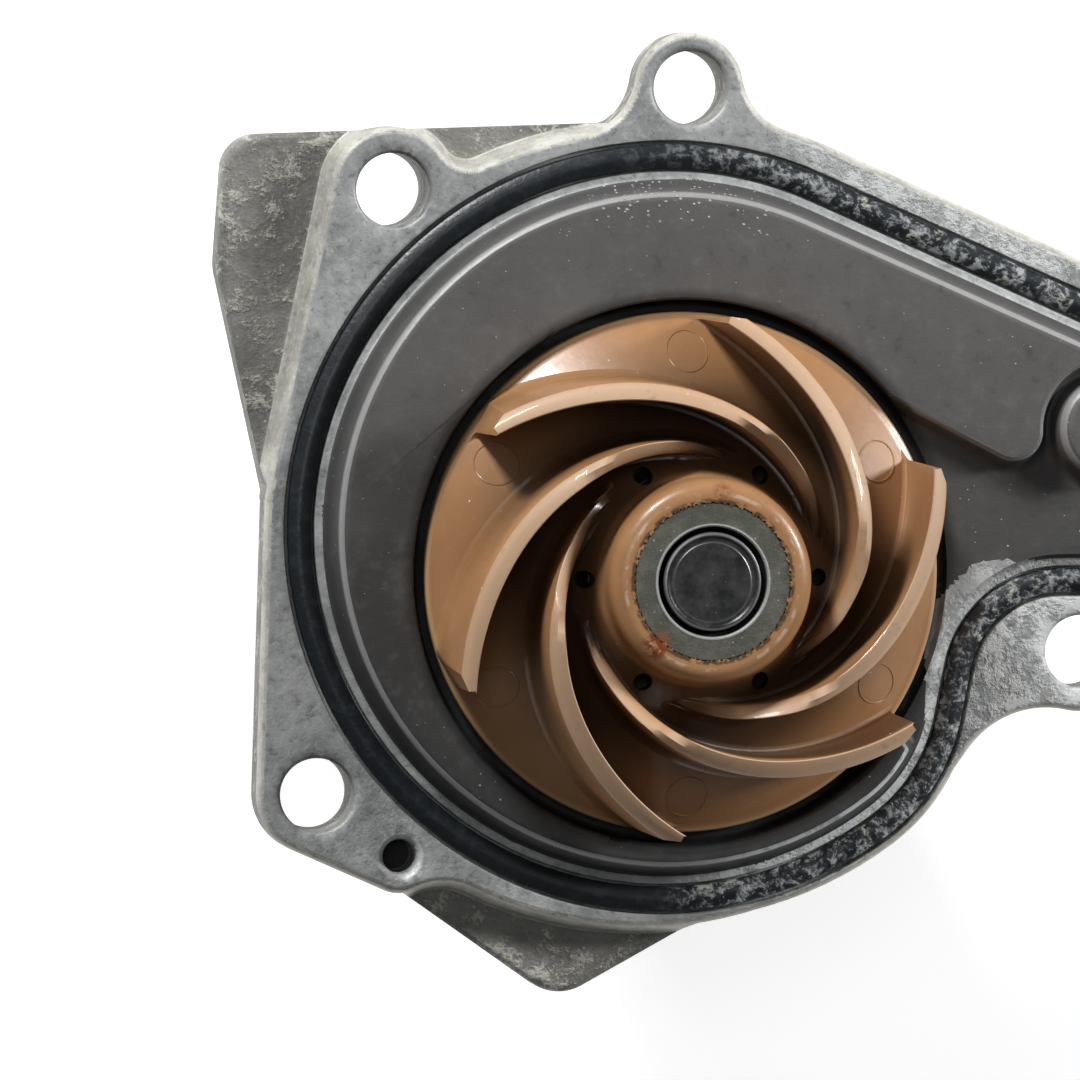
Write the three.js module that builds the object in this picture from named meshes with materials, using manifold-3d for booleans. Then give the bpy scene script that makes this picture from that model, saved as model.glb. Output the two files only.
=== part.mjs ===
// Coolant pump: a cast housing with a teardrop sealing face, a six-bladed moulded impeller,
// an integral shaft bearing, a face seal and a drive hub. Millimetres, +Z from the drive hub
// towards the impeller, origin on the shaft axis in the drive hub's flat face.
import * as THREE from "three";
import { mergeVertices } from "three/addons/utils/BufferGeometryUtils.js";
import Module from "manifold-3d";

const wasm = await Module();
wasm.setup();

// ---- Driving dimensions -------------------------------------------------------------------
const GAP = 0.3; // between pieces that touch or run beside each other
const TURN = 2 * Math.PI;

// Levels along the shaft
const faceZ = 62; // sealing face of the flange
const flangeThick = 6;
const ledgeDrop = 4; // the outer ledge lies this far below the sealing face
const ledgeThick = 5;
const platformRise = 4.3; // chamber wall above the sealing face
const lowFloorRise = 1; // outlet floor above the sealing face
const discRise = 2.7; // impeller rim above the sealing face
const pocketDepth = 0.3; // pocket floor below the sealing face

// Chamber outline: circles that its wall wraps round
const chamberX = -1.3;
const chamberY = 5.3;
const chamberR = 41.4;
const throatR = 17.2; // tight bend beside the lower right bolt
const throatAngle = -53.8;
const waistLeft = 2.8; // centre of the hollow bend round that bolt, left of the bolt
const waistBelow = 4.1; // and below it
const waistR = 17.2;
const endReach = 27.5; // centre of the rounded far end, beyond the chamber's round wall
const endY = 11;
const endR = 8.3;

// Flange outline
const rimX = -4;
const rimY = 5.2;
const rimWidth = 7.8; // round rim outside the chamber wall
const sealLand = 3.5; // flange face left outside the seal along the upper edge
const landMin = 1; // and the least left outside it anywhere
const boltR = 4.5;
const earFillet = 8;
// Each ear, and the dowel: its angle round the chamber, how far outside the wall, its radius
const topEarAt = [87.04, 12.77, 6.8];
const leftEarAt = [129.27, 12.47, 7.7];
const lowEarAt = [-143.47, 12.86, 7.4];
const rightEarAt = [-16.77, 13.01, 7.5];
const farEarAt = [27.27, 13.53, 7.2]; // this one round the far end
const dowelAt = [-129.78, 10.65, 4.6];
const dowelR = 2.1;
const dowelDepth = 6;
const dowelChamfer = 0.8;
const flankAt = [175.93, -3.4, 12]; // bulge of the flange's left flank

// Ring seal in its groove round the chamber wall
const grooveFrom = 2.5; // groove starts this far outside the chamber wall
const sealWidth = 3.1;
const sealProud = 0.8;
const grooveDepth = 1.4;

// Impeller
const discR = 32;
const pocketClear = 1.5; // between the disc's rim and the pocket wall
const bladeCount = 6;
const bladeTipRise = 15.8; // blade tops above the disc's rim, at the rim
const bladeKinkRise = 20; // and where the inlet slope starts
const bladeKinkR = 19.3;
const bladeTipAngle = 28.5;
const bladeWrap = 65;
const bladeCurl = 52;
const bladeHook = 20; // last turn of a blade's foot, round the hub
const bladeThick = 2.5;
const bladeEndThick = 1.5;
const noseWall = 2.9; // plastic round the insert
const noseRise = 20.5;
const hubFloorRise = 10.6; // underside of the impeller's hub
const discSkin = 2.3;
const rimThick = 1.6;
const balanceR = 1.1;
const insertWall = 3.6; // insert's radius beyond the shaft end's
const insertChamfer = 0.6;

// Shaft, bearing and drive hub
const shaftR = 7.7;
const shaftEndR = 6;
const shaftChamfer = 0.7;
const bearingFrom = 17;
const bearingLength = 32;
const raceWall = 1.6; // the bearing's outer race
const ballR = 2.4;
const ballsPerRow = 8;
const rowInset = 8.5; // ball rows from the bearing's ends
const cageInside = 1.1; // cage from the ball circle inwards
const cageOutside = 1.2; // and outwards
const cageHeight = 3.4;
const shieldThick = 1.2;
const snoutWall = 5.6;
const drainWall = 9; // thicker wall round the drain space between bearing and seal
const hubR = 32;
const hubThick = 5;
const hubBossWall = 5.3;
const hubBossHeight = 15.5;
const hubTapR = 2.6;
const hubTapCircle = 25;
const hubTapCount = 4;

// Seal chamber
const collarWall = 4;
const collarHeight = 6.3; // collar above the pocket floor
const sealSkin = 0.8;
const sealFlangeWidth = 2.3;
const sealShaftGap = 1.5; // case, bellows and carbon clear the shaft by this
const seatWidth = 4.9; // seat ring's outside beyond the shaft
const cupWidth = 1; // rubber cup's outside beyond the seat ring
const weepR = 1.9;
const weepAngle = -45;
const slingerWidth = 4.8;
const ribCount = 6;
const ribThick = 3.6;
const ribReach = 38;
const ribFoot = 32;
const bossR = 6.2; // round boss in the outlet
const bossFootR = 7.2;
const bossBeforeEnd = 14.1; // boss from the far end's centre, towards the shaft
const bossAboveEnd = 6.4;
const bossTrench = 1.4;

// ---- Worked out from the driving dimensions -----------------------------------------------
const flangeBackZ = faceZ - flangeThick;
const ledgeTopZ = faceZ - ledgeDrop;
const ledgeBackZ = ledgeTopZ - ledgeThick;
const platformZ = faceZ + platformRise;
const lowFloorZ = faceZ + lowFloorRise;
const pocketZ = faceZ - pocketDepth;
const discZ = faceZ + discRise;
const noseZ = discZ + noseRise;
const hubFloorZ = discZ + hubFloorRise;
const collarZ = pocketZ + collarHeight;
const bearingTopZ = bearingFrom + bearingLength;
const ballCircle = shaftR + GAP + ballR;
const raceR = ballCircle + ballR + GAP;
const bearingR = raceR + raceWall;
const boreR = bearingR + GAP;
const cageInnerR = ballCircle - cageInside;
const cageOuterR = ballCircle + cageOutside;
const collarR = boreR + collarWall;
const sealCaseR = boreR - GAP;
const sealFlangeR = sealCaseR + sealFlangeWidth;
const sealBore = shaftR + sealShaftGap;
const seatR = shaftR + seatWidth;
const cupR = seatR + cupWidth;
const slingerR = shaftR + slingerWidth;
const hubBossR = shaftR + hubBossWall;
const insertR = shaftEndR + insertWall;
const noseR = insertR + noseWall;
const balanceCircle = Math.max(cupR, noseR) + 0.85; // the holes open outside the cup and the nose
const bladeFootR = balanceCircle - 0.05;
const snoutR = boreR + snoutWall;
const drainR = boreR + drainWall;
const pocketR = discR + pocketClear;
const grooveTo = grooveFrom + sealWidth + 2 * GAP;
const weepZ = bearingTopZ + weepR + 2 * GAP;

// ---- Finishes -----------------------------------------------------------------------------
const finish = (color, roughness, metalness) => ({ color, roughness, metalness });
const CAST = finish(0x8c8d8b, 0.55, 0.8);
const RUBBER = finish(0x1d2124, 0.7, 0);
const TAN_PLASTIC = finish(0x9a6a48, 0.35, 0);
const SINTERED = finish(0x6b6a60, 0.5, 0.8);
const STEEL = finish(0x7c7d7c, 0.3, 1);
const DARK_STEEL = finish(0x3b3c3b, 0.4, 0.9);
const NYLON = finish(0xd8d2bd, 0.6, 0);
const CARBON = finish(0x202020, 0.5, 0.1);
const CERAMIC = finish(0xe6e2d6, 0.3, 0);
const BRASS = finish(0xb08d4a, 0.35, 1);

// ---- Shape helpers ------------------------------------------------------------------------
const radians = (degrees) => (degrees * Math.PI) / 180;

// A closed three.js geometry as a solid that can be cut and joined.
function solid(geometry) {
  geometry.deleteAttribute("normal");
  geometry.deleteAttribute("uv");
  const merged = mergeVertices(geometry, 1e-4);
  return new wasm.Manifold(
    new wasm.Mesh({
      numProp: 3,
      vertProperties: merged.attributes.position.array,
      triVerts: new Uint32Array(merged.index.array),
    }),
  );
}

// A profile of [radius, z] points, listed anticlockwise, turned about Z.
function turned(profile, segments = 32) {
  const points = profile.map(([r, z]) => new THREE.Vector2(r, z));
  if (points[0].x > 0) points.push(points[0].clone());
  return solid(new THREE.LatheGeometry(points, segments).rotateX(Math.PI / 2));
}

// A flat ring or washer.
function tube(inner, outer, low, high, segments = 32) {
  const profile = [
    [inner, low],
    [outer, low],
    [outer, high],
    [inner, high],
  ];
  return turned(profile, segments);
}

// An outline extruded from one level to another.
function plate(outline, low, high) {
  const options = { depth: high - low, bevelEnabled: false };
  return solid(new THREE.ExtrudeGeometry(new THREE.Shape(outline), options).translate(0, 0, low));
}

// An upright round post, or a cone when the two radii differ.
function post(x, y, lowR, highR, low, high, segments = 20) {
  const geometry = new THREE.CylinderGeometry(highR, lowR, high - low, segments);
  return solid(geometry.rotateX(Math.PI / 2).translate(x, y, (low + high) / 2));
}

// The outline of a belt pulled anticlockwise round circles. A circle with a negative radius
// is passed on its other side and makes a hollow bend. An offset grows the outline.
function belt(circles, offset = 0, stepAngle = 14) {
  const count = circles.length;
  const round = circles.map(({ x, y, r }) => ({ x, y, r: r + offset }));
  const headings = round.map((from, i) => {
    const to = round[(i + 1) % count];
    const distance = Math.hypot(to.x - from.x, to.y - from.y);
    const lean = Math.max(-1, Math.min(1, (to.r - from.r) / distance));
    return Math.atan2(to.y - from.y, to.x - from.x) - Math.asin(lean);
  });
  const points = [];
  round.forEach(({ x, y, r }, i) => {
    const side = Math.sign(r);
    const start = headings[(i + count - 1) % count];
    let sweep = (headings[i] - start) % TURN;
    if (side * sweep < -0.05) sweep += side * TURN;
    if (side * sweep > TURN - 0.05) sweep -= side * TURN;
    const steps = Math.max(1, Math.ceil(Math.abs(sweep) / radians(stepAngle)));
    for (let k = 0; k <= steps; k++) {
      const heading = start + (sweep * k) / steps;
      const point = new THREE.Vector2(x + r * Math.sin(heading), y - r * Math.cos(heading));
      if (!points.length || point.distanceTo(points.at(-1)) > 0.05) points.push(point);
    }
  });
  if (points[0].distanceTo(points.at(-1)) < 0.05) points.pop();
  return points;
}

// The circle of a hollow fillet that touches two round corners, on the outside of a belt.
function fillet(from, to, radius) {
  const distance = Math.hypot(to.x - from.x, to.y - from.y);
  const ux = (to.x - from.x) / distance;
  const uy = (to.y - from.y) / distance;
  const reach = from.r + radius;
  const along = (reach ** 2 - (to.r + radius) ** 2 + distance ** 2) / (2 * distance);
  const out = Math.sqrt(Math.max(0, reach ** 2 - along ** 2));
  return { x: from.x + along * ux + out * uy, y: from.y + along * uy - out * ux, r: -radius };
}

// Copies of a solid spaced evenly about Z, joined into one.
function around(piece, count, startAngle = 0) {
  const copies = [];
  for (let i = 0; i < count; i++) copies.push(piece.rotate([0, 0, startAngle + (360 * i) / count]));
  return wasm.Manifold.union(copies);
}

// ---- Outlines -----------------------------------------------------------------------------
const chamberCircle = { x: chamberX, y: chamberY, r: chamberR };
const farEnd = { x: chamberX + chamberR + endReach, y: endY, r: endR };

// A circle at an angle round another one, its centre a distance outside that one.
function outside({ x, y, r }, [angle, distance, radius]) {
  const reach = r + distance;
  return { x: x + reach * Math.cos(radians(angle)), y: y + reach * Math.sin(radians(angle)), r: radius };
}

const topEar = outside(chamberCircle, topEarAt);
const leftEar = outside(chamberCircle, leftEarAt);
const lowEar = outside(chamberCircle, lowEarAt);
const rightEar = outside(chamberCircle, rightEarAt);
const farEar = outside(farEnd, farEarAt);
const ears = [topEar, leftEar, lowEar, rightEar, farEar];
const dowel = outside(chamberCircle, dowelAt);
const throat = outside(chamberCircle, [throatAngle, -throatR - 0.02, throatR]);
const waist = { x: rightEar.x - waistLeft, y: rightEar.y - waistBelow, r: -waistR };
const chamber = [chamberCircle, throat, waist, farEnd];

const rim = { x: rimX, y: rimY, r: chamberR + rimWidth };
const upper = { x: chamberX, y: chamberY, r: chamberR + grooveTo + sealLand };
const outerEnd = { x: farEnd.x, y: farEnd.y, r: endR + grooveTo + sealLand };
const bossX = farEnd.x - bossBeforeEnd;
const bossY = farEnd.y + bossAboveEnd;
const flange = [
  topEar,
  fillet(topEar, rim, earFillet),
  rim,
  fillet(rim, leftEar, earFillet / 2),
  leftEar,
  outside(chamberCircle, flankAt),
  lowEar,
  dowel,
  fillet(dowel, rim, earFillet),
  rim,
  fillet(rim, rightEar, 1.5 * earFillet),
  rightEar,
  fillet(rightEar, outerEnd, earFillet),
  outerEnd,
  fillet(outerEnd, farEar, earFillet),
  farEar,
  fillet(farEar, outerEnd, earFillet),
  outerEnd,
  upper,
  fillet(upper, topEar, earFillet),
];
const ledge = [
  outside(chamberCircle, [93.52, 2.58, 6]),
  outside(chamberCircle, [138.66, 25.06, 4.6]),
  outside(chamberCircle, [146.01, 17.09, 6.8]),
  outside(chamberCircle, [171.48, 3.8, 5]),
];
const lobe = [
  outside(chamberCircle, [-121.68, -5.79, 5]),
  outside(chamberCircle, [-132.55, 9.91, 4.3]),
  outside(chamberCircle, [-103.85, 11.64, 5.9]),
  outside(chamberCircle, [-81.33, 0.38, 5.5]),
];
const outletFloor = [
  { x: 22, y: 19, r: 3.8 },
  { x: 24, y: -8, r: 4 },
  { x: 34, y: -24, r: 4 },
  { x: farEnd.x + 22.4, y: -24, r: 4 },
  { x: farEnd.x + 22.4, y: 4, r: 4 },
  { x: bossX + 9.2, y: bossY - 5.3, r: -2 },
  { x: bossX, y: bossY, r: bossFootR + bossTrench },
  { x: bossX - 12.1, y: bossY - 0.3, r: -3.5 },
];

// ---- Pieces -------------------------------------------------------------------------------
// Lays an upright piece along the drain hole, its height becoming distance from the shaft.
function atWeep(piece) {
  return piece.translate([-weepZ, 0, 0]).rotate([0, 90, weepAngle]);
}

function pumpHousing() {
  const bell = turned([
    [boreR - 3, bearingFrom - 0.5],
    [snoutR - 1, bearingFrom - 0.5],
    [snoutR, bearingFrom + 0.5],
    [snoutR + 0.5, bearingTopZ - 2],
    [drainR, bearingTopZ],
    [drainR, flangeBackZ - 1],
    [drainR + 2, flangeBackZ + 0.5],
    [boreR - 3, flangeBackZ + 0.5],
  ]);
  const ribSide = [
    new THREE.Vector2(snoutR - 1, ribFoot),
    new THREE.Vector2(ribReach + 1, flangeBackZ),
    new THREE.Vector2(ribReach + 1, flangeBackZ + 1),
    new THREE.Vector2(snoutR - 1, flangeBackZ + 1),
  ];
  const rib = plate(ribSide, -ribThick / 2, ribThick / 2).rotate([90, 0, 0]);
  const boss = post(bossX, bossY, bossFootR, bossR, lowFloorZ - 1, platformZ + 0.4, 24);
  const collar = post(0, 0, collarR, collarR, pocketZ - 1, collarZ, 32);
  const spotFaces = ears.map(({ x, y, r }) => post(x, y, r - 0.8, r - 0.4, flangeBackZ - 1.5, flangeBackZ + 1));
  const bolts = ears.map(({ x, y }) => post(x, y, boltR, boltR, flangeBackZ - 4, faceZ + 1));
  const groove = plate(belt(chamber, grooveTo), faceZ - grooveDepth, faceZ + 1).subtract(
    plate(belt(chamber, grooveFrom), faceZ - grooveDepth - 1, faceZ + 2),
  );
  const weep = atWeep(post(0, 0, weepR, weepR, boreR - 3, drainR + 2, 16));
  return plate(belt(flange), flangeBackZ, faceZ)
    .add(plate(belt(chamber, grooveTo + landMin), flangeBackZ, faceZ))
    .add(plate(belt(ledge), ledgeBackZ, ledgeTopZ))
    .add(plate(belt(lobe), ledgeBackZ, ledgeTopZ))
    .add(plate(belt(chamber, -1), flangeBackZ - 1.5, flangeBackZ + 1))
    .add(bell)
    .add(around(rib, ribCount))
    .add(wasm.Manifold.union(spotFaces))
    .subtract(groove)
    .add(plate(belt(chamber), faceZ - 1, platformZ))
    .subtract(plate(belt(outletFloor), lowFloorZ, platformZ + 1))
    .add(boss)
    .subtract(post(0, 0, pocketR, pocketR, pocketZ, platformZ + 2, 36))
    .add(collar)
    .subtract(post(0, 0, boreR, boreR, bearingFrom - 1, bearingTopZ + GAP, 32))
    .subtract(post(0, 0, boreR - 1, boreR - 1, bearingTopZ, faceZ + 1, 32))
    .subtract(post(0, 0, boreR, boreR, faceZ, collarZ + 1, 32))
    .subtract(wasm.Manifold.union(bolts))
    .subtract(post(dowel.x, dowel.y, dowelR, dowelR, faceZ - dowelDepth, faceZ + 1, 20))
    .subtract(
      post(dowel.x, dowel.y, dowelR, dowelR + 2 * dowelChamfer, faceZ - dowelChamfer, faceZ + dowelChamfer, 20),
    )
    .subtract(weep);
}

function flangeSeal() {
  const from = grooveFrom + GAP;
  const low = faceZ - grooveDepth + GAP;
  const high = faceZ + sealProud;
  return plate(belt(chamber, from + sealWidth), low, high).subtract(
    plate(belt(chamber, from), low - 1, high + 1),
  );
}

// Where a blade's inner edge lies: its angle at a radius, wound further back towards the hub.
function bladeAngle(r) {
  const inward = (discR - r) / (discR - bladeFootR);
  const wound = bladeWrap * inward + bladeCurl * inward ** 3 + bladeHook * inward ** 20;
  return radians(bladeTipAngle - wound);
}

function bladeOutline(steps = 11) {
  const innerEdge = [];
  const outerEdge = [];
  const from = discR + 2;
  for (let i = 0; i <= steps; i++) {
    const share = Math.sin((Math.PI / 2) * (i / steps));
    const r = from + (bladeFootR - from) * share;
    const at = (radius) => {
      const angle = bladeAngle(radius);
      return new THREE.Vector2(radius * Math.cos(angle), radius * Math.sin(angle));
    };
    const point = at(r);
    const along = at(r + 0.05).sub(at(r - 0.05)).normalize();
    const normal = new THREE.Vector2(along.y, -along.x);
    const thick = bladeThick - (bladeThick - bladeEndThick) * (2 * share - 1) ** 2;
    innerEdge.push(point);
    outerEdge.push(point.clone().addScaledVector(normal, thick));
  }
  return [...innerEdge, ...outerEdge.reverse()];
}

function impeller() {
  const coneRise = (r) => {
    const share = (discR - 1 - r) / (discR - 1 - balanceCircle);
    return 0.4 + (hubFloorRise + discSkin - 0.4) * share;
  };
  const boreRadius = insertR + GAP;
  const under = discSkin * 1.25;
  const hub = turned(
    [
      [boreRadius, hubFloorZ],
      [balanceCircle, hubFloorZ],
      [27, discZ + coneRise(27) - under],
      [30, discZ - rimThick],
      [discR, discZ - rimThick],
      [discR, discZ],
      [discR - 1, discZ + 0.4],
      [27, discZ + coneRise(27)],
      [20, discZ + coneRise(20)],
      [balanceCircle, discZ + coneRise(balanceCircle)],
      [noseR + 0.4, discZ + coneRise(noseR) + 0.6],
      [noseR, discZ + coneRise(noseR) + 2],
      [noseR, noseZ - 2],
      [noseR - 0.6, noseZ - 0.6],
      [noseR - 2, noseZ],
      [boreRadius, noseZ],
    ],
    36,
  );
  const envelope = turned(
    [
      [noseR, discZ + coneRise(noseR) - 1.6],
      [27, discZ + coneRise(27) - 1.6],
      [discR, discZ - 1],
      [discR, discZ + bladeTipRise],
      [bladeKinkR, discZ + bladeKinkRise],
      [bladeKinkR - 3, discZ + bladeKinkRise - 3],
      [noseR, discZ + coneRise(noseR) + 1],
    ],
    36,
  );
  const blade = plate(bladeOutline(), discZ - 2, noseZ + 1).intersect(envelope);
  const holeCentre = post(balanceCircle, 0, balanceR, balanceR, hubFloorZ - 2, noseZ - 2, 10);
  return hub.add(around(blade, bladeCount)).subtract(around(holeCentre, bladeCount));
}

function impellerInsert() {
  const bore = shaftEndR + GAP;
  return turned([
    [bore, hubFloorZ + GAP],
    [insertR, hubFloorZ + GAP],
    [insertR, noseZ],
    [bore + insertChamfer, noseZ],
    [bore, noseZ - insertChamfer],
  ]);
}

function pumpShaft() {
  const stepZ = hubFloorZ - GAP;
  return turned([
    [0, 0],
    [shaftR - shaftChamfer, 0],
    [shaftR, shaftChamfer],
    [shaftR, stepZ],
    [shaftEndR, stepZ],
    [shaftEndR, noseZ - shaftChamfer],
    [shaftEndR - shaftChamfer, noseZ],
    [0, noseZ],
  ]);
}

function driveHub() {
  const bore = shaftR + GAP;
  const body = turned([
    [bore, 0],
    [hubR - 0.8, 0],
    [hubR, 0.8],
    [hubR, hubThick - 0.8],
    [hubR - 0.8, hubThick],
    [hubBossR + 2, hubThick],
    [hubBossR, hubThick + 2],
    [hubBossR, hubBossHeight - 0.8],
    [hubBossR - 0.8, hubBossHeight],
    [bore, hubBossHeight],
  ]);
  const tap = post(hubTapCircle, 0, hubTapR, hubTapR, -1, hubThick + 1, 16);
  return body.subtract(around(tap, hubTapCount, 45));
}

function bearingRace() {
  return tube(raceR, bearingR, bearingFrom, bearingTopZ);
}

function ballCage(rowZ, facing) {
  const low = Math.min(rowZ, rowZ + facing * cageHeight);
  const ring = tube(cageInnerR, cageOuterR, low, low + cageHeight, 32);
  const pocket = solid(new THREE.SphereGeometry(ballR + GAP, 8, 6).translate(ballCircle, 0, rowZ));
  return ring.subtract(around(pocket, ballsPerRow));
}

function bearingShield(low) {
  return tube(shaftR + GAP, raceR - GAP, low, low + shieldThick);
}

function bearingBall(rowZ, index) {
  const angle = (TURN * index) / ballsPerRow;
  const x = ballCircle * Math.cos(angle);
  const y = ballCircle * Math.sin(angle);
  return solid(new THREE.SphereGeometry(ballR, 8, 6).translate(x, y, rowZ));
}

// The face seal, from the housing up to the impeller: each level rests on the one below.
const caseFloorZ = faceZ + 0.4;
const caseTopZ = collarZ + GAP + 0.9;
const bellowsZ = caseFloorZ + sealSkin + GAP;
const carbonZ = caseTopZ + 0.4;
const carbonTopZ = carbonZ + 2.3;
const seatZ = carbonTopZ + GAP;
const cupTopZ = hubFloorZ - GAP;
const seatTopZ = cupTopZ - 0.7 - GAP;

function sealCase() {
  return turned([
    [sealBore, caseFloorZ],
    [sealCaseR, caseFloorZ],
    [sealCaseR, collarZ + GAP],
    [sealFlangeR, collarZ + GAP],
    [sealFlangeR, caseTopZ],
    [sealCaseR - sealSkin, caseTopZ],
    [sealCaseR - sealSkin, caseFloorZ + sealSkin],
    [sealBore, caseFloorZ + sealSkin],
  ]);
}

function sealBellows() {
  const outer = sealCaseR - sealSkin - GAP;
  return turned([
    [sealBore + 0.2, bellowsZ],
    [outer, bellowsZ],
    [outer, bellowsZ + 0.8],
    [sealBore + 1.2, bellowsZ + 0.8],
    [sealBore + 1.2, carbonZ - GAP],
    [sealBore + 0.2, carbonZ - GAP],
  ]);
}

class Coil extends THREE.Curve {
  constructor(radius, low, high, turns) {
    super();
    Object.assign(this, { radius, low, high, turns });
  }
  getPoint(t, target = new THREE.Vector3()) {
    const angle = TURN * this.turns * t;
    const z = this.low + (this.high - this.low) * t;
    return target.set(this.radius * Math.cos(angle), this.radius * Math.sin(angle), z);
  }
}

function sealSpring() {
  const wire = 0.4;
  const coilR = (sealBore + 1.2 + sealCaseR - sealSkin) / 2;
  const low = bellowsZ + 0.8 + GAP + wire;
  const path = new Coil(coilR, low, carbonZ - GAP - wire, 3);
  const section = new THREE.Shape(new THREE.EllipseCurve(0, 0, wire, wire).getPoints(5).slice(0, 5));
  const options = { steps: 39, extrudePath: path };
  return solid(new THREE.ExtrudeGeometry(section, options));
}

function carbonRing() {
  return turned([
    [sealBore, carbonZ],
    [seatR + 0.4, carbonZ],
    [seatR + 0.4, carbonZ + 1.3],
    [seatR - 1.2, carbonTopZ],
    [sealBore, carbonTopZ],
  ]);
}

function seatRing() {
  return tube(shaftR + GAP, seatR, seatZ, seatTopZ);
}

function seatCup() {
  return turned([
    [shaftR + GAP, seatTopZ + GAP],
    [seatR + GAP, seatTopZ + GAP],
    [seatR + GAP, seatZ + GAP],
    [cupR, seatZ + GAP],
    [cupR, cupTopZ],
    [shaftR + GAP, cupTopZ],
  ]);
}

function slinger() {
  const low = bearingTopZ + 1.2;
  return turned([
    [shaftR + GAP, low],
    [slingerR, low],
    [slingerR, low + 0.8],
    [shaftR + 1.8, low + 0.8],
    [shaftR + 1.8, low + 2.2],
    [shaftR + GAP, low + 2.2],
  ]);
}

function weepPlug() {
  const stem = post(0, 0, weepR - GAP, weepR - GAP, drainR - 4, drainR + 1, 16);
  const head = post(0, 0, weepR + 0.6, weepR + 0.4, drainR + GAP, drainR + 2.2, 16);
  return atWeep(stem.add(head));
}

// ---- Assembly -----------------------------------------------------------------------------
const pump = new THREE.Group();

function addPiece(name, made, { color, roughness, metalness }) {
  const { vertProperties, triVerts } = made.getMesh();
  const geometry = new THREE.BufferGeometry();
  geometry.setAttribute("position", new THREE.BufferAttribute(vertProperties, 3));
  geometry.setIndex(new THREE.BufferAttribute(triVerts, 1));
  geometry.computeVertexNormals();
  const material = new THREE.MeshStandardMaterial({ color, roughness, metalness });
  const mesh = new THREE.Mesh(geometry, material);
  mesh.name = name;
  pump.add(mesh);
}

addPiece("pump_housing", pumpHousing(), CAST);
addPiece("flange_seal", flangeSeal(), RUBBER);
addPiece("impeller", impeller(), TAN_PLASTIC);
addPiece("impeller_insert", impellerInsert(), SINTERED);
addPiece("pump_shaft", pumpShaft(), DARK_STEEL);
addPiece("drive_hub", driveHub(), STEEL);
addPiece("bearing_race", bearingRace(), STEEL);

const rows = [
  { name: "front", z: bearingFrom + rowInset, facing: 1, shieldZ: bearingFrom + 0.8 },
  { name: "rear", z: bearingTopZ - rowInset, facing: -1, shieldZ: bearingTopZ - 0.8 - shieldThick },
];
for (const { name, z, facing, shieldZ } of rows) {
  addPiece(`ball_cage_${name}`, ballCage(z, facing), NYLON);
  addPiece(`bearing_shield_${name}`, bearingShield(shieldZ), RUBBER);
  for (let i = 0; i < ballsPerRow; i++) {
    addPiece(`ball_${name}_${i + 1}`, bearingBall(z, i), STEEL);
  }
}

addPiece("seal_case", sealCase(), BRASS);
addPiece("seal_bellows", sealBellows(), RUBBER);
addPiece("seal_spring", sealSpring(), STEEL);
addPiece("carbon_ring", carbonRing(), CARBON);
addPiece("seat_ring", seatRing(), CERAMIC);
addPiece("seat_cup", seatCup(), RUBBER);
addPiece("slinger", slinger(), STEEL);
addPiece("weep_plug", weepPlug(), RUBBER);

export default pump;
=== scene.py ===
"""A coolant pump: cast housing, ring seal, moulded impeller, shaft, bearing and drive hub."""

import math

import bpy
import numpy as np
from mathutils import Matrix, Vector
from mathutils.geometry import delaunay_2d_cdt


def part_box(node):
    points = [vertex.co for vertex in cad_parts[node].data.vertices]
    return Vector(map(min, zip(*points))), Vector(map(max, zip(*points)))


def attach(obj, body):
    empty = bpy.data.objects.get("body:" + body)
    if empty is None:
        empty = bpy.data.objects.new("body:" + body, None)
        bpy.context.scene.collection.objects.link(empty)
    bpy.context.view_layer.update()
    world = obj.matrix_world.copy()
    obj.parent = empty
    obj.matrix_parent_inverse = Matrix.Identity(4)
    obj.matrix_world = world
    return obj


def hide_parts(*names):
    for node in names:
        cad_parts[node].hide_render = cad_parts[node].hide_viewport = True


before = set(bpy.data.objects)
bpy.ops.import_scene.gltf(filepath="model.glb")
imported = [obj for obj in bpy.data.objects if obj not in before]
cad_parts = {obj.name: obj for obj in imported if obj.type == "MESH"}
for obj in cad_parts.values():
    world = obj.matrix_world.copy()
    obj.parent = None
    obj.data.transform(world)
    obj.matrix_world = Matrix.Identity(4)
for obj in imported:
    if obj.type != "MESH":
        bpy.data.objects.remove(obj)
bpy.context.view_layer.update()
dice = np.random.default_rng(7)

MM = 0.001
FAR = 1000.0  # a level that never wins when levels are compared


def top_of(node):
    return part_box(node)[1][2] / MM


def bottom_of(node):
    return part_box(node)[0][2] / MM


# Levels along the shaft, in millimetres.
face = top_of("flange_seal") - 0.8  # the flange's machined face
back = face - 6.0
ledge_top = face - 4.0
ledge_back = face - 9.0
platform = face + 4.3
low_floor = face + 1.0
pocket_floor = face - 0.3
nose = top_of("impeller_insert")
disc = nose - 20.5  # top of the impeller's rim
collar_top = face + 6.0
snout_end = bottom_of("pump_housing")
bearing_low = bottom_of("bearing_race")
bearing_high = top_of("bearing_race")
disc_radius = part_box("impeller")[1][0] / MM


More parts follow.
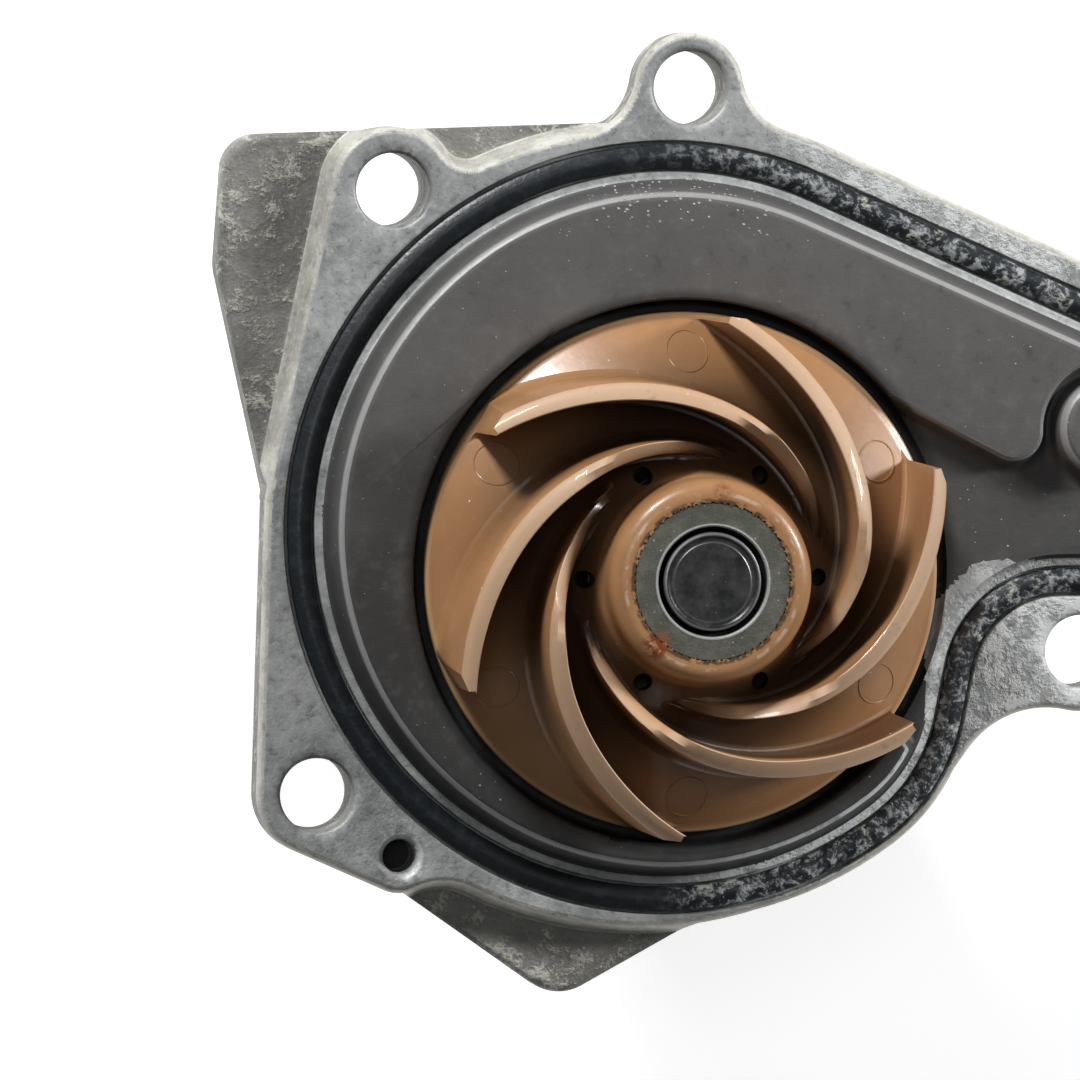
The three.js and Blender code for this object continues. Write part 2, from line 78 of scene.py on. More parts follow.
# ---- Plan outlines: belts pulled round circles (x, y, radius) ------------------------------
def belt(circles, offset=0.0, step=math.radians(3)):
    """The outline of a belt round circles, anticlockwise. A negative radius makes a hollow bend."""
    round_ones = [(x, y, r + offset) for x, y, r in circles]
    headings = []
    for (ax, ay, ar), (bx, by, br) in zip(round_ones, round_ones[1:] + round_ones[:1]):
        lean = max(-1.0, min(1.0, (br - ar) / math.hypot(bx - ax, by - ay)))
        headings.append(math.atan2(by - ay, bx - ax) - math.asin(lean))
    points = []
    for i, (x, y, r) in enumerate(round_ones):
        side = 1 if circles[i][2] > 0 else -1
        start = headings[i - 1]
        sweep = math.fmod(headings[i] - start, math.tau)
        if side * sweep < -0.05:
            sweep += side * math.tau
        if side * sweep > math.tau - 0.05:
            sweep -= side * math.tau
        steps = max(1, math.ceil(abs(sweep) / step))
        for k in range(steps + 1):
            heading = start + sweep * k / steps
            points.append((x + r * math.sin(heading), y - r * math.cos(heading)))
    return np.array(points)


def span(a, b):
    """How far apart two plan points lie, and the direction from the first to the second."""
    gap = math.hypot(b[0] - a[0], b[1] - a[1])
    return gap, (b[0] - a[0]) / gap, (b[1] - a[1]) / gap


def fillet(a, b, radius):
    """The hollow bend that touches two round corners, on the outside of a belt."""
    (ax, ay, ar), br = a, b[2]
    gap, ux, uy = span(a, b)
    reach = ar + radius
    along = (reach**2 - (br + radius) ** 2 + gap**2) / (2 * gap)
    out = math.sqrt(max(0.0, reach**2 - along**2))
    return (ax + along * ux + out * uy, ay + along * uy - out * ux, -radius)


def ring(x, y, r, count=72):
    turn = np.arange(count) * math.tau / count
    return np.c_[x + r * np.cos(turn), y + r * np.sin(turn)]


def distance_to(outline, points):
    """How far points lie outside an outline, negative inside it."""
    start, end = outline, np.roll(outline, -1, axis=0)
    keep = np.hypot(*(end - start).T) > 1e-6
    start, end = start[keep], end[keep]
    along = end - start
    length = (along**2).sum(1)
    result = np.empty(len(points))
    for first in range(0, len(points), 2000):
        p = points[first : first + 2000, None, :]
        t = np.clip(((p - start) * along).sum(2) / length, 0, 1)
        gap = np.sqrt((((start + t[..., None] * along) - p) ** 2).sum(2).min(1))
        px, py = p[..., 0], p[..., 1]
        spans = (start[:, 1] > py) != (end[:, 1] > py)
        rise = np.where(along[:, 1] == 0, 1e-9, along[:, 1])
        crossing = start[:, 0] + (py - start[:, 1]) * along[:, 0] / rise
        inside = (spans & (px < crossing)).sum(1) % 2 == 1
        result[first : first + 2000] = np.where(inside, -gap, gap)
    return result


CHAMBER_X, CHAMBER_Y, CHAMBER_RADIUS = -1.3, 5.3, 41.4
THROAT_RADIUS = 17.2
END_X, END_Y, END_RADIUS = 67.6, 11.0, 8.3
throat_turn = math.radians(-53.8)
throat_reach = CHAMBER_RADIUS - THROAT_RADIUS - 0.02
CHAMBER = [
    (CHAMBER_X, CHAMBER_Y, CHAMBER_RADIUS),
    (
        CHAMBER_X + throat_reach * math.cos(throat_turn),
        CHAMBER_Y + throat_reach * math.sin(throat_turn),
        THROAT_RADIUS,
    ),
    (48.0, -14.5, -THROAT_RADIUS),
    (END_X, END_Y, END_RADIUS),
]

TOP_EAR, LEFT_EAR, LOW_EAR = (1.5, 59.4, 6.8), (-35.4, 47.0, 7.7), (-44.9, -27.0, 7.4)
RIGHT_EAR, FAR_EAR = (50.8, -10.4, 7.5), (87.0, 21.0, 7.2)
EARS = [TOP_EAR, LEFT_EAR, LOW_EAR, RIGHT_EAR, FAR_EAR]
DOWEL = (-34.6, -34.7, 4.6)
RIM = (-4.0, 5.2, 49.2)
UPPER = (CHAMBER_X, CHAMBER_Y, CHAMBER_RADIUS + 9.7)
OUTER_END = (END_X, END_Y, END_RADIUS + 9.7)
FLANGE = [
    TOP_EAR,
    fillet(TOP_EAR, RIM, 8),
    RIM,
    fillet(RIM, LEFT_EAR, 4),
    LEFT_EAR,
    (-39.2, 8.0, 12.0),
    LOW_EAR,
    DOWEL,
    fillet(DOWEL, RIM, 8),
    RIM,
    fillet(RIM, RIGHT_EAR, 12),
    RIGHT_EAR,
    fillet(RIGHT_EAR, OUTER_END, 8),
    OUTER_END,
    fillet(OUTER_END, FAR_EAR, 8),
    FAR_EAR,
    fillet(FAR_EAR, OUTER_END, 8),
    OUTER_END,
    UPPER,
    fillet(UPPER, TOP_EAR, 8),
]
LEDGE = [(-4.0, 49.2, 6.0), (-51.2, 49.2, 4.6), (-49.8, 38.0, 6.8), (-46.0, 12.0, 5.0)]
LOBE = [(-20.0, -25.0, 5.0), (-36.0, -32.5, 4.3), (-14.0, -46.2, 5.9), (5.0, -36.0, 5.5)]
BOSS_X, BOSS_Y = 53.5, 17.4
LOW_REGION = [
    (22.0, 19.0, 3.8), (24.0, -8.0, 4.0), (34.0, -24.0, 4.0), (90.0, -24.0, 4.0), (90.0, 4.0, 4.0),
    (BOSS_X + 9.2, BOSS_Y - 5.3, -2.0), (BOSS_X, BOSS_Y, 8.6), (BOSS_X - 12.1, BOSS_Y - 0.3, -3.5),
]
SEAL_FROM, SEAL_TO = 2.8, 5.8
GROOVE_FROM, GROOVE_TO = 2.5, 6.2
POCKET_RADIUS = 33.5
BORE_RADIUS, COLLAR_RADIUS = 15.0, 19.0
BOLT_RADIUS = 4.5
DOWEL_RADIUS = 2.1


# ---- Mesh helpers --------------------------------------------------------------------------
def new_piece(name, points, faces, body, finishes, stands_for=(), finish_slot=None, kinds=None, sharp=35):
    """A mesh piece from points in millimetres. kinds gives each face the number of its finish."""
    mesh = bpy.data.meshes.new(name)
    mesh.from_pydata([tuple(float(v) * MM for v in p) for p in points], [], [tuple(f) for f in faces])
    mesh.validate()
    for finish in finishes:
        mesh.materials.append(finish)
    if kinds is not None:
        mesh.polygons.foreach_set("material_index", np.asarray(kinds, dtype=np.int32))
    mesh.shade_smooth()
    mesh.set_sharp_from_angle(angle=math.radians(sharp))
    mesh.update()
    piece = bpy.data.objects.new(name, mesh)
    bpy.context.scene.collection.objects.link(piece)
    even = piece.modifiers.new("even shading", "WEIGHTED_NORMAL")
    even.keep_sharp = True
    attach(piece, body)
    if stands_for:
        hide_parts(*stands_for)
    return piece


def lathe(profile, count=128, wobble=None):
    """Points and faces of a closed [radius, level] profile turned round the shaft's axis."""
    profile = np.asarray(profile, dtype=float)
    closed = profile[0][0] > 1e-6
    turn = np.arange(count) * math.tau / count
    points, faces, rows = [], [], []
    for number, (r, z) in enumerate(profile):
        if r < 1e-6:
            rows.append([len(points)] * count)
            points.append((0.0, 0.0, z))
            continue
        radius = np.full(count, r) if wobble is None else r + wobble(number, turn)
        rows.append(list(range(len(points), len(points) + count)))
        points.extend(np.c_[radius * np.cos(turn), radius * np.sin(turn), np.full(count, z)])
    pairs = list(zip(rows, rows[1:] + (rows[:1] if closed else [])))
    if not closed:
        pairs = pairs[: len(rows) - 1]
    for low, high in pairs:
        for i in range(count):
            j = (i + 1) % count
            corners = [low[i], low[j], high[j], high[i]]
            face = list(dict.fromkeys(corners))
            if len(face) > 2:
                faces.append(face)
    return points, faces


def joined(*shells):
    points, faces = [], []
    for more_points, more_faces in shells:
        start = len(points)
        points.extend(more_points)
        faces.extend([start + i for i in f] for f in more_faces)
    return points, faces


def arc(cx, cy, radius, start, end, steps=5):
    """Points of a rounded corner in a profile, angles in degrees."""
    turn = np.radians(np.linspace(start, end, steps + 1))
    return [(cx + radius * math.cos(t), cy + radius * math.sin(t)) for t in turn]


def drilled(shell, holes, low, high, count=32):
    """A shell with round holes cut through it between two levels."""
    def as_object(name, points, faces):
        mesh = bpy.data.meshes.new(name)
        mesh.from_pydata([tuple(map(float, p)) for p in points], [], faces)
        thing = bpy.data.objects.new(name, mesh)
        bpy.context.scene.collection.objects.link(thing)
        return thing

    body = as_object("to_drill", *shell)
    cutters = []
    for x, y, r in holes:
        edge = ring(x, y, r, count)
        points = [(*p, low) for p in edge] + [(*p, high) for p in edge]
        faces = [list(range(count))[::-1], list(range(count, 2 * count))]
        faces += [[i, (i + 1) % count, count + (i + 1) % count, count + i] for i in range(count)]
        cutters.append((points, faces))
    drill = as_object("drill", *joined(*cutters))
    cut = body.modifiers.new("drill", "BOOLEAN")
    cut.operation = "DIFFERENCE"
    cut.solver = "EXACT"
    cut.object = drill
    bpy.context.view_layer.update()
    result = body.evaluated_get(bpy.context.evaluated_depsgraph_get()).to_mesh()
    points = [tuple(v.co) for v in result.vertices]
    faces = [list(p.vertices) for p in result.polygons]
    for thing in (body, drill):
        mesh = thing.data
        bpy.data.objects.remove(thing)
        bpy.data.meshes.remove(mesh)
    return points, faces


# ---- Finishes ------------------------------------------------------------------------------
class Field:
    """A number on its way through a finish. Arithmetic on it adds the Math nodes."""

    def __init__(self, finish, socket):
        self.finish = finish
        self.socket = socket

    def math(self, operation, *values, clamp=False):
        inputs = dict(enumerate((self, *values)))
        return self.finish.node("ShaderNodeMath", {"operation": operation, "use_clamp": clamp}, inputs)

    def __add__(self, other):
        return self.math("ADD", other)

    def __mul__(self, other):
        return self.math("MULTIPLY", other)

    def __sub__(self, other):
        return self.math("SUBTRACT", other)

    def __neg__(self):
        return self * -1.0

    def __rsub__(self, other):
        return -self + other

    __radd__ = __add__
    __rmul__ = __mul__

    def above(self, low, high):
        """0 below low, 1 above high, and a smooth rise between."""
        settings = {"interpolation_type": "SMOOTHSTEP"}
        inputs = {"Value": self, "From Min": low, "From Max": high}
        return self.finish.node("ShaderNodeMapRange", settings, inputs)

    def below(self, low, high):
        """1 below low, 0 above high."""
        return 1 - self.above(low, high)

    def clipped(self):
        return self.math("ADD", 0.0, clamp=True)


class Finish:
    """A node material for one finish. Places on it are measured in millimetres."""

    def __init__(self, name):
        self.colour = None
        self.material = bpy.data.materials.new(name)
        self.material.use_nodes = True
        self.tree = self.material.node_tree
        self.shader = self.tree.nodes["Principled BSDF"]
        self.place = self.node(
            "ShaderNodeVectorMath",
            {"operation": "SCALE"},
            {0: self.node("ShaderNodeTexCoord", output="Object"), "Scale": 1 / MM},
        )
        self.x, self.y, self.z = (
            self.node("ShaderNodeSeparateXYZ", {}, {0: self.place}, output=axis) for axis in "XYZ"
        )

    def node(self, kind, settings=None, inputs=None, output=0):
        made = self.tree.nodes.new(kind)
        for key, value in (settings or {}).items():
            setattr(made, key, value)
        for key, value in (inputs or {}).items():
            self.feed(made.inputs[key], value)
        return Field(self, made.outputs[output])

    def feed(self, socket, value):
        if isinstance(value, Field):
            self.tree.links.new(value.socket, socket)
        elif socket.type == "RGBA":
            socket.default_value = (*value[:3], 1.0)
        else:
            socket.default_value = value

    def noise(self, size, detail=4.0, rough=0.55, stretch=(1, 1, 1), offset=0.0, warp=0.0):
        """Cloudy noise with features about size millimetres across, centred on 0.5."""
        at = self.place
        if stretch != (1, 1, 1) or offset:
            at = self.node(
                "ShaderNodeMapping", {}, {"Vector": at, "Scale": stretch, "Location": (offset,) * 3}
            )
        inputs = {"Vector": at, "Scale": 1 / size, "Detail": detail, "Roughness": rough, "Distortion": warp}
        return self.node("ShaderNodeTexNoise", {}, inputs)

    def specks(self, spacing, radius, share=0.5, offset=0.0):
        """Small round specks on about a share of the cells of a scatter."""
        at = self.node("ShaderNodeMapping", {}, {"Vector": self.place, "Location": (offset,) * 3})
        inputs = {"Vector": at, "Scale": 1 / spacing}
        gap = self.node("ShaderNodeTexVoronoi", {}, inputs, output="Distance")
        cell = self.node("ShaderNodeTexVoronoi", {}, inputs, output="Color")
        pick = self.node("ShaderNodeSeparateColor", {}, {0: cell})
        size = radius / spacing
        return (1 - gap.above(size * 0.5, size)) * pick.above(1 - share, 1 - share + 0.02)

    def mix(self, amount, first, second):
        """A colour between two colours."""
        settings = {"data_type": "RGBA", "clamp_factor": True}
        return self.node("ShaderNodeMix", settings, {0: amount, 6: first, 7: second}, output=2)

    def bump(self, height, distance):
        """A relief of that many millimetres at height 1."""
        inputs = {"Height": height, "Distance": distance * MM, "Strength": 1.0}
        return self.node("ShaderNodeBump", {}, inputs)

    def facing_up(self, normal="Normal"):
        """The share of the surface's direction that points along +Z."""
        direction = self.node("ShaderNodeNewGeometry", output=normal)
        return self.node("ShaderNodeSeparateXYZ", {}, {0: direction}, output="Z")

    def near(self, x, y, reach, soft):
        """1 close to a point of the plan, 0 beyond reach plus soft."""
        return self.radius_from(x, y).below(reach, reach + soft)

    def radius_from(self, x=0.0, y=0.0):
        dx, dy = self.x - x, self.y - y
        return (dx * dx + dy * dy).math("SQRT")

    def paint(self, amount, colour):
        """Lays another colour over the finish, as strongly as amount."""
        self.colour = self.mix(amount, self.colour, colour)

    def done(self, roughness, metallic=0.0, normal=None, **fixed):
        inputs = {"Base Color": self.colour, "Roughness": roughness, "Metallic": metallic}
        if normal is not None:
            inputs["Normal"] = normal
        inputs.update({key.replace("_", " "): value for key, value in fixed.items()})
        for key, value in inputs.items():
            self.feed(self.shader.inputs[key], value)
        return self.material


def grey(value, warmth=0.0):
    return (value * (1 + warmth), value, value * (1 - warmth))


def machined_face():
    """The milled flange face: light, clouded by coolant, crusted with white near the seal."""
    f = Finish("machined flange face")
    cloud = f.noise(9, 5, 0.6)
    fine = f.noise(1.5, 6, 0.68, warp=0.4)
    crumbs = f.noise(0.45, 3, 0.6, offset=30)
    f.colour = f.mix(cloud.above(0.35, 0.68), (0.25, 0.26, 0.26), (0.38, 0.39, 0.385))
    f.paint(fine.above(0.46, 0.72) * 0.6, (0.5, 0.51, 0.5))
    f.paint(fine.below(0.3, 0.46) * 0.75, (0.15, 0.155, 0.15))
    f.paint(crumbs.below(0.28, 0.4) * 0.55, grey(0.12))
    upper_right = (f.x * 0.405 + f.y * 0.914).above(44, 56) * f.x.above(6, 24)
    lower_right = f.near(26, -34, 12, 16) + f.near(46, -12, 9, 9) * 0.9
    low_left = f.near(-30, -38, 9, 12) * 0.25
    crust_zone = (upper_right + lower_right + low_left).clipped()
    crust = (f.noise(3.4, 6, 0.7, offset=11) + crumbs * 0.25).above(0.5, 0.72) * crust_zone
    f.paint(crust * 0.85, (0.7, 0.72, 0.71))
    stain = f.noise(4.5, 4, 0.6, offset=70).above(0.62, 0.74) * f.near(-30, -36, 10, 12)
    f.paint(stain * 0.6, (0.35, 0.27, 0.17))
    past_dowel = f.radius_from(DOWEL[0], DOWEL[1]) - DOWEL_RADIUS
    # Painted shade: the dowel hole is painted near black below the face.
    dowel_hole_shade = past_dowel.below(-0.2, 0.05) * f.z.below(face - 2, face - 0.8)
    f.paint(dowel_hole_shade, grey(0.012))
    sunk_ring = past_dowel.above(0, 0.2) * past_dowel.below(0.7, 0.9)
    f.paint(sunk_ring * 0.75, grey(0.62))
    relief = fine * 0.6 + crumbs * 0.4 + crust * 1.2
    return f.done(fine * 0.3 + 0.38 + crust * 0.2, 0.35, f.bump(relief, 0.12))


def flange_edge_highlight():
    """The rounded edge of the raised flange, painted lighter than the skin round it as a painted highlight.
    """
    f = Finish("flange edge with painted highlight")
    cloud = f.noise(5, 5, 0.65)
    fine = f.noise(0.8, 5, 0.65, offset=12)
    # Painted highlight: the whole edge band gets lighter greys than the face round it.
    f.colour = f.mix(cloud.above(0.35, 0.65), (0.34, 0.335, 0.3), (0.5, 0.49, 0.44))
    f.paint(fine.above(0.5, 0.72) * 0.6, (0.62, 0.6, 0.54))
    f.paint(fine.below(0.3, 0.44) * 0.6, (0.2, 0.19, 0.16))
    return f.done(fine * 0.25 + 0.42, 0.3, f.bump(fine, 0.12))


def chamber_cast():
    """Dark cast skin of the chamber, dusted with white specks, with painted shade towards the bottom, on
    the low floor and round the pocket, and a painted highlight along the lip.
    """
    f = Finish("dark chamber casting")
    cloud = f.noise(16, 4, 0.55)
    mottle = f.noise(2.2, 5, 0.65, offset=5)
    grain = f.noise(0.5, 4, 0.6)
    # Painted shade: the skin is darker towards the bottom and lighter towards the top, as the light falls.
    upper = (f.y * 0.9 + f.x * 0.25).above(-25, 48)
    f.colour = f.mix(upper, (0.05, 0.049, 0.048), (0.115, 0.111, 0.108))
    f.paint(cloud.above(0.35, 0.68) * 0.4, (0.14, 0.136, 0.132))
    f.paint(mottle.above(0.5, 0.75) * 0.3, grey(0.17))
    f.paint(mottle.below(0.28, 0.42) * 0.35, grey(0.045))
    # Painted shade on the low floor and the levels below the platform.
    f.paint(f.z.below(low_floor + 0.4, platform - 0.6) * 0.5, grey(0.04))
    dust = (f.specks(1.1, 0.1, 0.4) + f.specks(2.3, 0.17, 0.3, offset=9)).clipped()
    from_middle = f.radius_from(CHAMBER_X, CHAMBER_Y)
    lip_band = from_middle.above(36.8, 38.6) * f.y.above(38, 41)
    lip_band = lip_band * f.x.below(9, 12) * f.x.above(-13, -9)
    bubbles = (f.specks(0.7, 0.22, 0.5, offset=3) * lip_band * mottle.above(0.36, 0.46)).clipped()
    f.paint(dust * 0.7, grey(0.5))
    f.paint(bubbles * 0.85, grey(0.5))
    flat = f.facing_up("True Normal").above(0.85, 0.97)
    past_pocket = f.radius_from() - POCKET_RADIUS
    # Painted highlight along the platform's rounded lip; the same lip mask also places real scale below.
    lip = f.z.above(platform - 1.1, platform - 0.5) * (1 - flat) * past_pocket.above(1.0, 1.4)
    f.paint(lip * 0.7, grey(0.36))
    scale_zone = (f.near(40, -14, 14, 8) + f.near(22, -34, 10, 12)).clipped() * lip
    f.paint(scale_zone * mottle.above(0.35, 0.55) * 0.9, (0.55, 0.58, 0.6))
    # Painted shade: the pocket's wall and floor are painted near black.
    pocket_shade = past_pocket.below(-0.1, 0.5) * f.z.below(platform - 1.5, platform + 0.2)
    f.paint(pocket_shade, grey(0.012))
    relief = grain * 0.5 + mottle * 0.5 + dust * 0.8 + bubbles * 2
    # Painted shade on the platform round the pocket's edge.
    pocket_edge_shade = past_pocket.below(0.3, 1.8)
    f.paint(pocket_edge_shade * 0.75, grey(0.02))
    return f.done(mottle * 0.2 + 0.42, 0.3, f.bump(relief, 0.06))


def rough_cast():
    """As-cast outer skin: dull grey with cream and yellowish deposits."""
    f = Finish("rough outer casting")
    cloud = f.noise(12, 5, 0.6)
    grain = f.noise(0.8, 6, 0.7)
    lumps = f.noise(3.2, 5, 0.62, offset=20)
    f.colour = f.mix(cloud.above(0.35, 0.65), (0.14, 0.138, 0.125), (0.22, 0.216, 0.2))
    f.paint(grain.above(0.45, 0.75) * 0.55, (0.33, 0.325, 0.3))
    f.paint(grain.below(0.28, 0.42) * 0.5, (0.06, 0.058, 0.052))
    deposit = (lumps * 0.7 + f.noise(0.5, 4, 0.65, offset=41) * 0.4).above(0.55, 0.67)
    f.paint(deposit * 0.75, (0.54, 0.53, 0.46))
    f.paint(f.specks(1.1, 0.2, 0.25) * 0.6, (0.6, 0.58, 0.48))
    relief = grain * 0.6 + lumps + deposit * 0.5
    return f.done(grain * 0.25 + 0.5, 0.3, f.bump(relief, 0.25))


def seal_rubber():
    """Black rubber, greyed and crusted with scale on its right-hand side."""
    f = Finish("scaled black rubber")
    mottle = f.noise(1.9, 5, 0.65, warp=0.5)
    fine = f.noise(0.6, 4, 0.6, offset=8)
    upper_right = (f.x * 0.405 + f.y * 0.914).above(36, 50) * f.x.above(-14, 24)
    lower_right = f.near(38, -22, 16, 16) + f.near(14, -44, 8, 10)
    zone = (upper_right * 0.75 + lower_right).clipped()
    f.colour = f.mix(mottle.above(0.45, 0.75) * 0.5, (0.009, 0.012, 0.015), (0.04, 0.046, 0.052))
    f.paint(zone * mottle.above(0.35, 0.6) * 0.35, (0.09, 0.1, 0.11))
    crust = (mottle * 0.65 + fine * 0.4).above(0.5, 0.63) * zone
    f.paint(crust * 0.85, (0.46, 0.48, 0.48))
    cream = f.noise(3.1, 3, 0.5, offset=90).above(0.6, 0.68) * crust
    f.paint(cream * 0.6, (0.62, 0.58, 0.4))
    return f.done(crust * 0.35 + 0.36, 0.0, f.bump(mottle * 0.4 + fine * 0.3 + crust, 0.14))


def moulded_plastic():
    """Tan moulded plastic with a satin gloss, dulled and dusted by use, with a painted highlight on the
    blade tops and painted shade in the channels and balance holes.
    """
    f = Finish("tan moulded plastic")
    cloud = f.noise(13, 4, 0.5)
    fine = f.noise(1.1, 5, 0.6)
    f.colour = f.mix(cloud.above(0.3, 0.7), (0.31, 0.155, 0.066), (0.38, 0.198, 0.09))
    f.paint(fine.above(0.5, 0.8) * 0.2, (0.42, 0.25, 0.13))
    up = f.facing_up()
    radius = f.radius_from()
    # Painted highlight: blade tops that face upward are painted lighter; the same mask also places real
    # dirt and a rougher worn surface on them.
    highlit_and_worn_tops = f.z.above(disc + 13.5, disc + 15) * up.above(0.4, 0.8) * radius.above(13.5, 15)
    f.paint(highlit_and_worn_tops * 0.6, (0.5, 0.35, 0.235))
    dirt = f.noise(2.2, 5, 0.65, offset=14).above(0.58, 0.72) * highlit_and_worn_tops
    f.paint(dirt * 0.5, (0.22, 0.14, 0.085))
    rim = radius.above(31.3, 31.7) * f.z.below(disc + 0.3, disc + 0.6)
    f.paint(rim * 0.45, (0.55, 0.38, 0.22))
    dust = (f.specks(2.1, 0.13, 0.22) + f.specks(3.4, 0.18, 0.2, offset=6)).clipped()
    f.paint(dust * 0.8, (0.68, 0.6, 0.5))
    pits = f.specks(1.7, 0.14, 0.14, offset=17)
    f.paint(pits * 0.8, (0.08, 0.045, 0.025))
    near_sleeve = radius.below(9.85, 10.3) * f.z.above(nose - 1.5, nose - 1)
    ragged = near_sleeve * f.noise(1.1, 4, 0.6, offset=50).above(0.38, 0.55)
    f.paint(ragged * 0.85, (0.03, 0.02, 0.014))
    pale_mark = (radius - 10.7).math("ABSOLUTE").below(0.1, 0.35) * f.z.above(nose - 1, nose - 0.5)
    pale_mark = pale_mark * f.noise(1.6, 3, 0.5, offset=61).above(0.5, 0.62)
    f.paint(pale_mark * 0.5, (0.62, 0.46, 0.36))
    # Painted shade in the channels between the blades, low down near the hub.
    channel_shade = radius.below(20, 30) * radius.above(12.6, 13.4) * f.z.below(disc + 12.5, disc + 18)
    f.paint(channel_shade * 0.93, (0.04, 0.019, 0.009))
    # Painted shade inside the balance holes, on surfaces not facing up.
    balance_hole_shade = f.z.below(disc + 11.2, disc + 12.2) * radius.below(15.9, 16.2)
    f.paint(balance_hole_shade * up.below(0.3, 0.7), (0.012, 0.007, 0.004))
    rust = (f.near(-6.9, -7.6, 0.9, 1.5) + f.near(1.2, 10.9, 0.2, 1.5) * 0.7).clipped()
    rust = rust * f.z.above(nose - 2, nose - 1) * f.noise(0.8, 4, 0.6, offset=2).above(0.38, 0.55)
    f.paint(rust, (0.17, 0.036, 0.008))
    normal = f.bump(fine * 0.4 + dust * 0.7 + cloud * 0.4, 0.05)
    return f.done(fine * 0.16 + 0.27 + highlit_and_worn_tops * 0.2, 0.0, normal, Coat_Weight=0.1)


def sintered_metal():
    f = Finish("sintered greenish metal")
    grain = f.noise(0.28, 4, 0.65)
    cloud = f.noise(2.4, 4, 0.6)
    f.colour = f.mix(cloud.above(0.35, 0.7), (0.095, 0.096, 0.076), (0.15, 0.15, 0.122))
    f.paint(grain.above(0.55, 0.75) * 0.5, (0.24, 0.24, 0.2))
    f.paint(grain.below(0.28, 0.42) * 0.6, (0.04, 0.04, 0.033))
    f.paint(f.specks(0.9, 0.12, 0.3) * 0.9, (0.5, 0.5, 0.44))
    radius = f.radius_from()
    ring_edge = radius.below(6.95, 7.1) * f.z.above(nose - 0.3, nose - 0.15)
    f.paint(ring_edge * 0.8, grey(0.5))
    # Painted shade: the bore's wall below its chamfer is painted near black.
    bore = radius.below(6.6, 6.68) * f.z.below(nose - 0.6, nose - 0.3)
    f.paint(bore, grey(0.01))
    rust = f.near(-6.2, -7.0, 0.4, 1.2) * cloud.above(0.35, 0.55)
    f.paint(rust * 0.8, (0.25, 0.08, 0.02))
    return f.done(grain * 0.3 + 0.35, 0.5, f.bump(grain, 0.05))


def shaft_steel():
    f = Finish("darkened ground steel")
    rings = f.noise(0.35, 3, 0.5, stretch=(1, 1, 0.05))
    cloud = f.noise(2.0, 5, 0.6)
    f.colour = f.mix(cloud.above(0.3, 0.7), (0.035, 0.037, 0.037), (0.085, 0.086, 0.082))
    radius = f.radius_from()
    at_end = f.z.above(nose - 0.6, nose - 0.45)
    bright_edge = radius.above(5.55, 5.75) * at_end
    f.paint(bright_edge * 0.75, grey(0.36))
    turned_mark = radius.above(4.6, 4.75) * radius.below(4.85, 5.0) * at_end
    f.paint(turned_mark * 0.5, grey(0.2))
    f.paint(f.specks(0.55, 0.06, 0.3) * 0.8, (0.55, 0.55, 0.5))
    return f.done(cloud * 0.25 + 0.25, 0.7, f.bump(rings * 0.3 + cloud * 0.5, 0.03))


def turned_steel(name="turned steel", shade=0.32, rough=0.28, tint=0.0):
    f = Finish(name)
    marks = f.noise(0.3, 3, 0.6, stretch=(0.15, 0.15, 1))
    cloud = f.noise(8, 5, 0.6)
    f.colour = f.mix(cloud.above(0.35, 0.7), grey(shade * 0.75, tint), grey(shade * 1.2, tint))
    spots = f.noise(1.4, 5, 0.65, offset=33).above(0.66, 0.76)
    f.paint(spots * 0.6, (0.12, 0.07, 0.04))
    return f.done(marks * 0.25 + rough, 0.9, f.bump(marks, 0.02))


def plain_moulding(name, dark, light, rough, relief=0.03):
    """A small hidden piece of rubber, nylon, carbon or ceramic."""
    f = Finish(name)
    cloud = f.noise(3, 4, 0.6)
    fine = f.noise(0.4, 4, 0.6)
    f.colour = f.mix((cloud * 0.6 + fine * 0.4).above(0.35, 0.65), dark, light)
    return f.done(fine * 0.2 + rough, 0.0, f.bump(fine, relief))


FACE, CAST_DARK, CAST_ROUGH, CAST_EDGE = machined_face(), chamber_cast(), rough_cast(), flange_edge_highlight()
RUBBER, PLASTIC, SINTERED = seal_rubber(), moulded_plastic(), sintered_metal()
SHAFT_STEEL, HUB_STEEL = shaft_steel(), turned_steel()
BEARING_STEEL = turned_steel("bright bearing steel", 0.5, 0.12)
# Painted shade: the seal case's brass is made near black, so it reads as shade through the balance holes.
BRASS = turned_steel("brass darkened as painted shade", 0.07, 0.45, 0.3)
PLAIN_RUBBER = plain_moulding("plain black rubber", grey(0.012), grey(0.03), 0.5)
NYLON = plain_moulding("natural nylon", (0.5, 0.45, 0.33), (0.62, 0.57, 0.45), 0.45)
CARBON = plain_moulding("lapped carbon", grey(0.015), grey(0.03), 0.3, 0.01)
CERAMIC = plain_moulding("lapped ceramic", (0.66, 0.64, 0.56), (0.78, 0.76, 0.7), 0.2, 0.01)


# ---- Housing -------------------------------------------------------------------------------
def levels(distance, table, beyond):
    """Level at a distance from a table of (distance, level), with another value past its end."""
    table = np.array(table, dtype=float)
    result = np.interp(distance, table[:, 0], table[:, 1])
    return np.where(distance > table[-1, 0] + 0.005, beyond, result)


